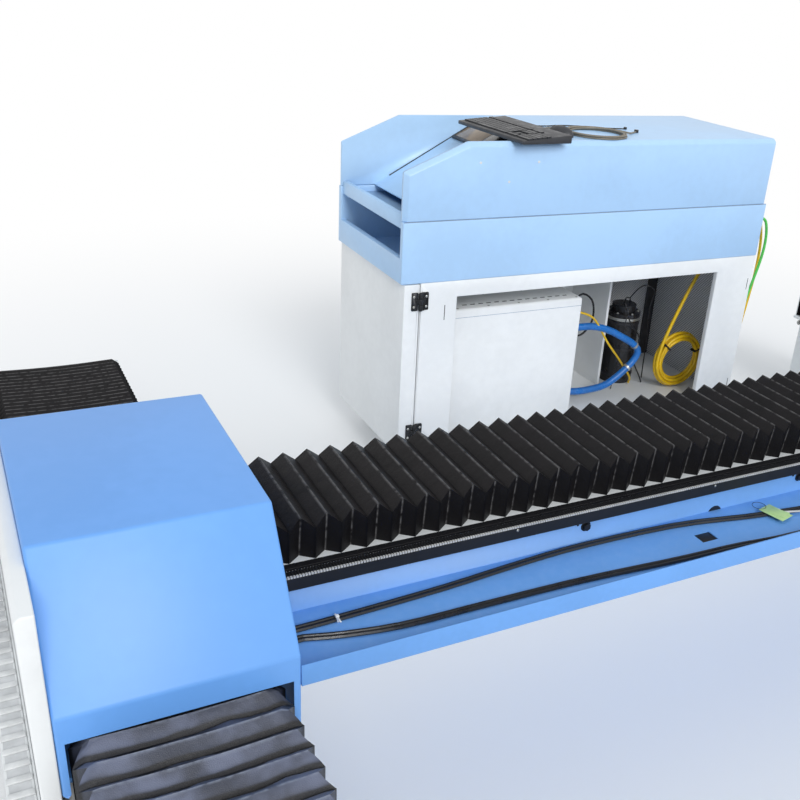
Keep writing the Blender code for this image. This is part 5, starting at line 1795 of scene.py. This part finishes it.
@dataclass
class ServiceBay(Group):
    """What is seen through the console's window: source, hose, pump, fan, wiring and fibre."""

    source_top: float = 0.591
    source_xs: tuple = (-0.306, 0.229)
    source_ys: tuple = (1.5895, 1.7395)
    vent_count: int = 14
    vent_start: float = 0.055
    vent_pitch: float = 0.032
    vent: Slab = Slab((0.0, 0.040, 0.0), (0.018, 0.046, 0.0006), 0.0002, 1)
    seam: Slab = Slab((-0.303, 1.5890, 0.5610), (0.226, 1.5901, 0.5624), 0.0002, 1)
    lid_margin: float = 0.014
    near_shares: tuple = (0.04, 0.27, 0.5, 0.73, 0.96)
    far_shares: tuple = (0.04, 0.35, 0.65, 0.96)
    side_screws: tuple = ((1.6095, 0.576), (1.7195, 0.576))
    source_screw: float = 0.0045
    nuts: tuple = ((1.6645, 0.445, 0.022), (1.6645, 0.180, 0.022),
                   (1.6295, 0.520, 0.011), (1.6995, 0.520, 0.011))
    nut_reach: tuple = (0.0002, 0.0010)
    nut_steps: tuple = ((0.0010, 0.0), (0.0001, 0.003))
    lining: tuple = (
        Slab((0.5065, 2.0405, 0.1212), (0.6830, 2.0445, 0.6960)),
        Slab((0.9000, 2.0405, 0.1212), (0.9515, 2.0445, 0.6960)),
        Slab((0.5045, 1.8000, 0.1212), (0.5060, 2.0400, 0.6960), 0.0005),
    )
    hose_radius: float = 0.014
    hose_route: tuple = (
        (0.2293, 1.6645, 0.445), (0.2433, 1.6645, 0.445), (0.3443, 1.6505, 0.445), (0.4593, 1.6505, 0.40083),
        (0.5743, 1.6505, 0.3125), (0.4593, 1.6505, 0.202085), (0.3443, 1.6505, 0.180),
        (0.2433, 1.6645, 0.180), (0.2293, 1.6645, 0.180))
    clamp_points: tuple = (2, 17, 22, 36)
    clamp_size: tuple = (0.010, 0.0022)
    pump_place: tuple = (0.629, 1.8465)
    pump_bands: tuple = ((0.0716, 0.150, 0.160), (0.0716, 0.262, 0.272), (0.0716, 0.374, 0.384))
    pump_clip: tuple = ((0.0722, 0.392, 0.404),)
    pump_top: float = 0.4203
    pump_bolts: int = 6
    pump_bolt: float = 0.0045
    pump_bolt_reach: float = 0.060
    fan_low: tuple = (0.556, 2.0150, 0.420)
    fan_size: tuple = (0.125, 0.032, 0.125)
    fan_steps: tuple = ((0.010, 0.0), (0.002, -0.012))
    guard_radii: tuple = (0.014, 0.028, 0.042, 0.054)
    guard_wire: float = 0.0012
    guard_proud: float = 0.002
    spokes: int = 4
    spoke_reach: float = 0.056
    leads: tuple = (
        ("signal_lead", 0.0042, "yellow_jacket", (
            (0.2332, 1.6295, 0.520), (0.2532, 1.6295, 0.518), (0.330, 1.640, 0.480), (0.420, 1.655, 0.370),
            (0.520, 1.690, 0.270), (0.618, 1.735, 0.170), (0.640, 1.760, 0.128))),
        ("supply_lead", 0.0040, "black_jacket", (
            (0.2332, 1.6995, 0.520), (0.2532, 1.6995, 0.525), (0.310, 1.710, 0.560), (0.372, 1.722, 0.520),
            (0.388, 1.730, 0.440), (0.352, 1.735, 0.385), (0.300, 1.740, 0.375), (0.262, 1.750, 0.350),
            (0.262, 1.770, 0.250), (0.270, 1.780, 0.124))),
        ("fan_lead", 0.0028, "black_jacket", (
            (0.600, 1.8200, 0.4505), (0.598, 1.812, 0.475), (0.575, 1.775, 0.480), (0.600, 1.752, 0.395),
            (0.652, 1.748, 0.330), (0.640, 1.752, 0.240), (0.690, 1.755, 0.150), (0.705, 1.758, 0.123))),
        ("sensor_lead", 0.0024, "black_jacket", (
            (0.655, 1.8465, 0.4505), (0.656, 1.842, 0.480), (0.690, 1.815, 0.530), (0.735, 1.795, 0.510),
            (0.722, 1.795, 0.440), (0.735, 1.800, 0.300), (0.740, 1.800, 0.122))),
        ("earth_lead", 0.0022, "black_jacket", (
            (0.629, 1.8465, 0.4505), (0.629, 1.840, 0.475), (0.612, 1.790, 0.480), (0.575, 1.755, 0.400),
            (0.556, 1.745, 0.280), (0.540, 1.742, 0.180), (0.536, 1.740, 0.122))),
    )
    fibre: float = 0.0072
    coil: Winding = Winding(turns=4.30, per_turn=32, first=168.0, sense=1.0,
                            start=0.0148, step=0.0148, lift=0.0148)
    coil_centre: tuple = (0.816, 1.6915, 0.2460)
    coil_reach: tuple = (0.100, 0.099)
    coil_front: float = 0.0200
    fibre_drop: tuple = ((0.063, 0.004, 0.4530), (0.062, 0.002, 0.4340), (0.044, -0.004, 0.3740),
                         (-0.002, -0.010, 0.2940), (-0.056, -0.015, 0.1840), (-0.098, -0.019, 0.0840))
    tie: Slab = Slab((-0.0235, -0.0160, -0.004), (0.0235, 0.0160, 0.004), 0.0035, 3)
    tie_angles: tuple = (140.0, 20.0)
    tie_front: float = 0.0126
    plug_radius: float = 0.0090
    plug_reach: tuple = (0.004, 0.026)

    def build(self) -> None:
        """Build the bay's contents."""
        self.source()
        self.plates("bay_lining", "bay_lining", *self.lining)
        cord = Cord("coolant_line", self.hose_radius, straight_ended(self.hose_route, 39), "blue_hose_rubber",
                    replaced=("coolant_hose",), stiffness="stiff")
        zinc = self.finishes["zinc_plate"]
        clamps = [cord.collar(index, *self.clamp_size, zinc) for index in self.clamp_points]
        cord.build(self.finishes, tuple(clamps))
        self.pump()
        self.fan()
        for name, radius, finish, points in self.leads:
            Cord(name, radius, flowing(points, 36), finish).build(self.finishes)
        self.fibre_roll()

    def source(self) -> None:
        """Lid seam, vents, nuts and screws of the laser source's plain case."""
        (left, right), (near, far), top = self.source_xs, self.source_ys, self.source_top
        xs = [left + self.vent_start + number * self.vent_pitch for number in range(self.vent_count)]
        self.plates("source_vents", "black_jacket", *(self.vent.moved(x, near, top) for x in xs))
        self.plates("source_seam", "joint_grey", self.seam)
        rows = ((self.near_shares, near + self.lid_margin), (self.far_shares, far - self.lid_margin))
        places = [((left + share * (right - left), y, top), Side.UP) for shares, y in rows for share in shares]
        places += [((right, y, z), Side.RIGHT) for y, z in self.side_screws]
        self.screws("source_screws", HeadKind.BUTTON, self.source_screw, "zinc_plate", places)
        nuts = []
        for y, z, radius in self.nuts:
            nut = Bench.bar("nut", radius, *((right + reach, y, z) for reach in self.nut_reach), 6)
            nuts.append(Bench.round_edges(Bench.step(nut, Side.RIGHT, *self.nut_steps), 0.0006, 1))
        self.dress(Bench.join("source_nuts", nuts), "zinc_plate")

    def pump(self) -> None:
        """Bands, clip and cap bolts of the chiller's pump."""
        self.bands("pump_bands", "motor_paint", self.pump_place, self.pump_bands)
        self.bands("pump_clip", "zinc_plate", self.pump_place, self.pump_clip)
        (x, y), reach = self.pump_place, self.pump_bolt_reach
        angles = [math.pi * (2.0 * number + 1.0) / self.pump_bolts for number in range(self.pump_bolts)]
        places = [((x + reach * math.cos(angle), y + reach * math.sin(angle), self.pump_top), Side.UP)
                  for angle in angles]
        self.screws("pump_bolts", HeadKind.HEX, self.pump_bolt, "zinc_plate", places)

    def fan(self) -> None:
        """Cooling fan with its guard rings, on the bay's back."""
        low, size = Vector(self.fan_low), Vector(self.fan_size)
        box = Bench.round_edges(Bench.block("fan_frame", low, low + size), 0.006)
        self.dress(Bench.step(box, Side.FRONT, *self.fan_steps), "motor_paint")
        place = Side.FRONT.at((low.x + size.x / 2, low.y - self.guard_proud, low.z + size.z / 2))
        guard = [Bench.ring("guard_ring", radius, self.guard_wire, place) for radius in self.guard_radii]
        ends = (-self.spoke_reach, 0.0, 0.0), (self.spoke_reach, 0.0, 0.0)
        for number in range(self.spokes):
            spoke = Bench.bar("spoke", self.guard_wire, *ends, 8)
            guard.append(Bench.put(spoke, place @ turned(180.0 * number / self.spokes)))
        self.dress(Bench.join("fan_guard", guard), "zinc_plate")

    def fibre_roll(self) -> None:
        """The delivery fibre: down from the roof and rolled up on edge, held by dark ties."""
        (x, y, z), (wide, tall) = self.coil_centre, self.coil_reach
        drop = [(x + across, y + back, z + rise) for across, back, rise in self.fibre_drop]
        roll = [Vector((x + (wide + spread) * math.cos(angle), y - self.coil_front + rise,
                        z + (tall + spread) * math.sin(angle))) for angle, spread, rise in self.coil.places()]
        line = flowing([*drop, roll[0]], 26) + roll[1:]
        cord = Cord("delivery_fibre", self.fibre, line, "yellow_jacket", replaced=("fibre_coil",), lay="coiled",
                    far_end="connector", stiffness="stiff")
        ties = []
        for angle in map(math.radians, self.tie_angles):
            spot = (x + wide * math.cos(angle), y - self.tie_front, z + tall * math.sin(angle))
            place = Matrix.Translation(spot) @ Matrix.Rotation(-angle, 4, "Y")
            ties.append(Bench.put(Bench.plate("tie", *self.tie), place))
        tie_piece = self.dress(Bench.join("fibre_ties", ties), "black_jacket")
        way = (line[-1] - line[-2]).normalized()
        back, out = self.plug_reach
        plug = Bench.bar("fibre_plug", self.plug_radius, line[-1] - way * back, line[-1] + way * out, 20)
        cord.build(self.finishes, (tie_piece, self.dress(Bench.round_edges(plug, 0.0015), "zinc_plate")))


@dataclass
class RailFittings(Group):
    """End-plate bolts, duct slats and racks of the floor rails."""

    spacing: float = 3.136
    front: float = -2.0705
    rear: float = 1.6295
    bolt_reach: float = 0.135
    bolt_zs: tuple = (0.36, 0.49)
    bolt_radius: float = 0.009
    duct_reach: tuple = (0.230, 0.267)
    duct_top: float = 0.300
    duct_margin: float = 0.02
    lip_gap: float = 0.005
    lip_width: float = 0.0040
    slat_pitch: float = 0.038
    slat_overhang: float = 0.003
    slat_start: float = 0.030
    slat_room: float = 0.05
    slat_rise: float = 0.0007
    slot_shade_rise: tuple = (0.0001, 0.0006)
    lip_rise: tuple = (-0.001, 0.0008)
    slat: tuple = (0.014, 0.004)

    def build(self) -> None:
        """Build both rails' fittings."""
        bolts = []
        for name, side in (("left", -1.0), ("right", 1.0)):
            centre = side * self.spacing / 2.0
            for x in (centre - self.bolt_reach, centre + self.bolt_reach):
                for z in self.bolt_zs:
                    bolts += [((x, self.front, z), Side.FRONT), ((x, self.rear, z), Side.BACK)]
            self.duct(name, side, centre)
        self.screws("end_plate_bolts", HeadKind.HEX, self.bolt_radius, "zinc_plate", bolts)
        for name, facing in (("left_rack", Side.RIGHT), ("right_rack", Side.LEFT)):
            ToothedRack(name, Body.BASE, Axis.Y, facing).build(self.finishes)

    def duct(self, name: str, side: float, centre: float) -> None:
        """White slats over a pale strip of painted shade for the slot along the rail's cable duct.

        Args:
            name: left or right.
            side: -1 for the left rail, 1 for the right one.
            centre: the rail's middle.
        """
        low, high = sorted(centre + side * reach for reach in self.duct_reach)
        near, far, top = self.front + self.duct_margin, self.rear - self.duct_margin, self.duct_top
        # Pale strip under the slats: painted shade of the duct seen through the slots.
        foot, head = (top + rise for rise in self.slot_shade_rise)
        self.plates(f"{name}_duct_liner", "duct_shadow", Slab((low, near, foot), (high, far, head), 0.0002, 1))
        edge = centre + side * (self.duct_reach[0] - self.lip_gap)
        lip_low, lip_high = sorted((edge, edge - side * self.lip_width))
        foot, head = (top + rise for rise in self.lip_rise)
        self.plates(f"{name}_duct_lip", "white_paint",
                    Slab((lip_low, near, foot), (lip_high, far, head), 0.0004, 1))
        (width, height), over = self.slat, self.slat_overhang
        slat = Bench.plate("slat", (low - over, -width / 2, 0.0), (high + over, width / 2, height), 0.0012)
        count = int((self.rear - self.front - self.slat_room) / self.slat_pitch)
        start = self.front + self.slat_start
        places = [Matrix.Translation((0.0, start + self.slat_pitch * number, top + self.slat_rise))
                  for number in range(count)]
        self.dress(Bench.repeat(f"{name}_duct_slats", slat, places), "duct_plastic")


@dataclass
class HeadFittings(Group):
    """Seams, rings, screws and sockets of the saddle, motors and cutting head."""

    body: Body = Body.HEAD
    x: float = 0.659
    head_y: float = -0.0858
    rings: tuple = ((0.0352, 0.575, 0.590), (0.0352, 0.535, 0.545),
                    (0.0315, 0.860, 0.876), (0.0185, 0.946, 0.956))
    seam: Slab = Slab((-0.0404, -0.0404, 0.0), (0.0404, 0.0395, 0.0016), 0.0004, 1)
    seam_zs: tuple = (0.680, 0.760)
    head_screw: float = 0.0040
    head_rows: tuple = ((0.031, -0.1258, (0.632, 0.668, 0.772, 0.808)),
                        (0.062, -0.0455, (0.735, 0.785, 0.855, 0.905)))
    saddle_screw: float = 0.0055
    saddle_rows: tuple = ((0.098, -0.0105, (0.66, 0.76, 0.98, 1.08)),)
    saddle_top: float = 0.7180
    saddle_top_reach: float = 0.135
    saddle_top_ys: tuple = (0.020, 0.120)
    motors: tuple = (
        ("vertical_motor_fittings", Body.SADDLE, 0.659, -0.0629, (1.128, 1.196), (-0.0629, -0.078), 1.208),
        ("left_drive_fittings", Body.GANTRY, -1.463, 0.1396, (0.585,), (0.1398, 0.128), 0.650),
        ("right_drive_fittings", Body.GANTRY, 1.463, 0.1396, (0.585,), (0.1398, 0.128), 0.650),
    )
    motor_band: Slab = Slab((-0.0294, 0.0, 0.0), (0.0294, 0.0588, 0.003), 0.0008, 1)
    socket_radius: float = 0.010
    socket_steps: tuple = ((0.002, 0.0), (0.0005, -0.004))

    def build(self) -> None:
        """Build the head's fittings."""
        self.bands("head_rings", "zinc_plate", (self.x, self.head_y), self.rings)
        seams = [self.seam.moved(self.x, self.head_y, z) for z in self.seam_zs]
        self.plates("head_seams", "black_oxide", *seams)
        self.screws("head_screws", HeadKind.SOCKET, self.head_screw, "black_oxide",
                    self.face_places(self.head_rows))
        tops = [((self.x + x, y, self.saddle_top), Side.UP)
                for x in (-self.saddle_top_reach, self.saddle_top_reach) for y in self.saddle_top_ys]
        self.screws("saddle_screws", HeadKind.SOCKET, self.saddle_screw, "black_oxide",
                    self.face_places(self.saddle_rows) + tops, Body.SADDLE)
        for name, body, x, face, zs, ends, socket_z in self.motors:
            parts = [Bench.plate("band", *self.motor_band.moved(x, face, z)) for z in zs]
            socket = Bench.bar("socket", self.socket_radius, *((x, y, socket_z) for y in ends), 20)
            parts.append(Bench.step(socket, Side.FRONT, *self.socket_steps))
            self.dress(Bench.join(name, parts), "zinc_plate", body)
        ToothedRack("beam_rack", Body.GANTRY, Axis.X, Side.UP).build(self.finishes)

    def face_places(self, rows: tuple) -> list:
        """Screw places on faces that look forward: reach to both sides, face, and heights."""
        return [((self.x + x, face, z), Side.FRONT)
                for reach, face, zs in rows for x in (-reach, reach) for z in zs]


@dataclass
class Machine:
    """The whole machine, one method for each group of pieces."""

    finishes: Finishes

    def sheets(self) -> None:
        """All folded and welded sheet-metal pieces."""
        blue, white, pale, tray, black, punched = (self.finishes[name] for name in (
            "blue_paint", "white_paint", "pale_blue_paint", "blue_tray_paint", "black_oxide", "punched_wall"))
        for side in ("left", "right"):
            FoldedSheet(f"{side}_cover", Body.GANTRY, 0.005).build(blue)
            FoldedSheet(f"{side}_side_guard", Body.GANTRY, 0.003).build(white)
            FoldedSheet(f"{side}_rail_base", Body.BASE, 0.003).build(white)
        FoldedSheet("cross_beam", Body.GANTRY, 0.006).build(blue)
        FoldedSheet("cable_tray", Body.GANTRY, 0.0012, 2).build(tray)
        FoldedSheet("saddle_cover", Body.SADDLE, 0.004).build(blue)
        hinges = tuple((black, (-0.53, 1.49, low), (-0.42, 1.5163, low + 0.07)) for low in (0.156, 0.628))
        glands = ((black, (0.9752, 1.5, 0.84), (1.0, 1.7, 0.89)),
                  (black, (0.9452, 1.5, 0.04), (0.97, 1.7, 0.08)))
        wall = (punched, (0.9520, 1.54, 0.11), (0.9540, 2.06, 0.71))
        FoldedSheet("console_top", Body.BASE, 0.004).build(pale)
        FoldedSheet("console_ring", Body.BASE, 0.003, accents=glands).build(pale)
        FoldedSheet("keyboard_drawer", Body.DRAWER, 0.002).build(pale)
        FoldedSheet("console_base", Body.BASE, 0.003, accents=(*hinges, *glands, wall)).build(white)
        FoldedSheet("console_door", Body.DOOR, 0.003, accents=hinges).build(white)
        FoldedSheet("laser_source", Body.BASE, 0.002).build(white)

    def bellows(self) -> None:
        """The six bellows."""
        cloth, sheened_rail_cloth = self.finishes["bellows_cloth"], self.finishes["rail_bellows_sheen_cloth"]
        for number, side in enumerate(("left", "right")):
            Bellows(f"{side}_front_bellows", Axis.Y, Body.BASE, Body.GANTRY, True, 44, 0.0052,
                    lift=0.012, valley_shade_width=0.46, seed=3.0 * number).build(sheened_rail_cloth)
            Bellows(f"{side}_rear_bellows", Axis.Y, Body.BASE, Body.GANTRY, False, 44, 0.0012,
                    seed=7.0 + number).build(cloth)
        for side, grows, seed in (("left", True, 11.0), ("right", False, 13.0)):
            Bellows(f"beam_{side}_bellows", Axis.X, Body.GANTRY, Body.SADDLE, grows, 37, 0.0012,
                    near_edge=(0.0145, 0.0260), far_edge=(0.018, 0.018), flare=0.009, sag=0.0,
                    swell=30.0, seed=seed).build(cloth)

    def fittings(self) -> None:
        """The small parts, group by group."""
        for kind in (BeamFittings, ConsoleFittings, DeskThings, ServiceBay, RailFittings, HeadFittings):
            kind(self.finishes).build()
            LOG.info("built %s", kind.__name__)


def main() -> None:
    """Build the machine's looks in order and report each group; Bench.dress reports each piece."""
    logging.basicConfig(level=logging.INFO, format="%(message)s")
    finishes = Finishes()
    Studio().build()
    LOG.info("stage ready")
    CadFinishes().build(finishes)
    machine = Machine(finishes)
    for group in (machine.sheets, machine.bellows, machine.fittings):
        group()
        LOG.info("built %s", group.__name__)
    Bench.clear()


if __name__ == "__main__":
    main()
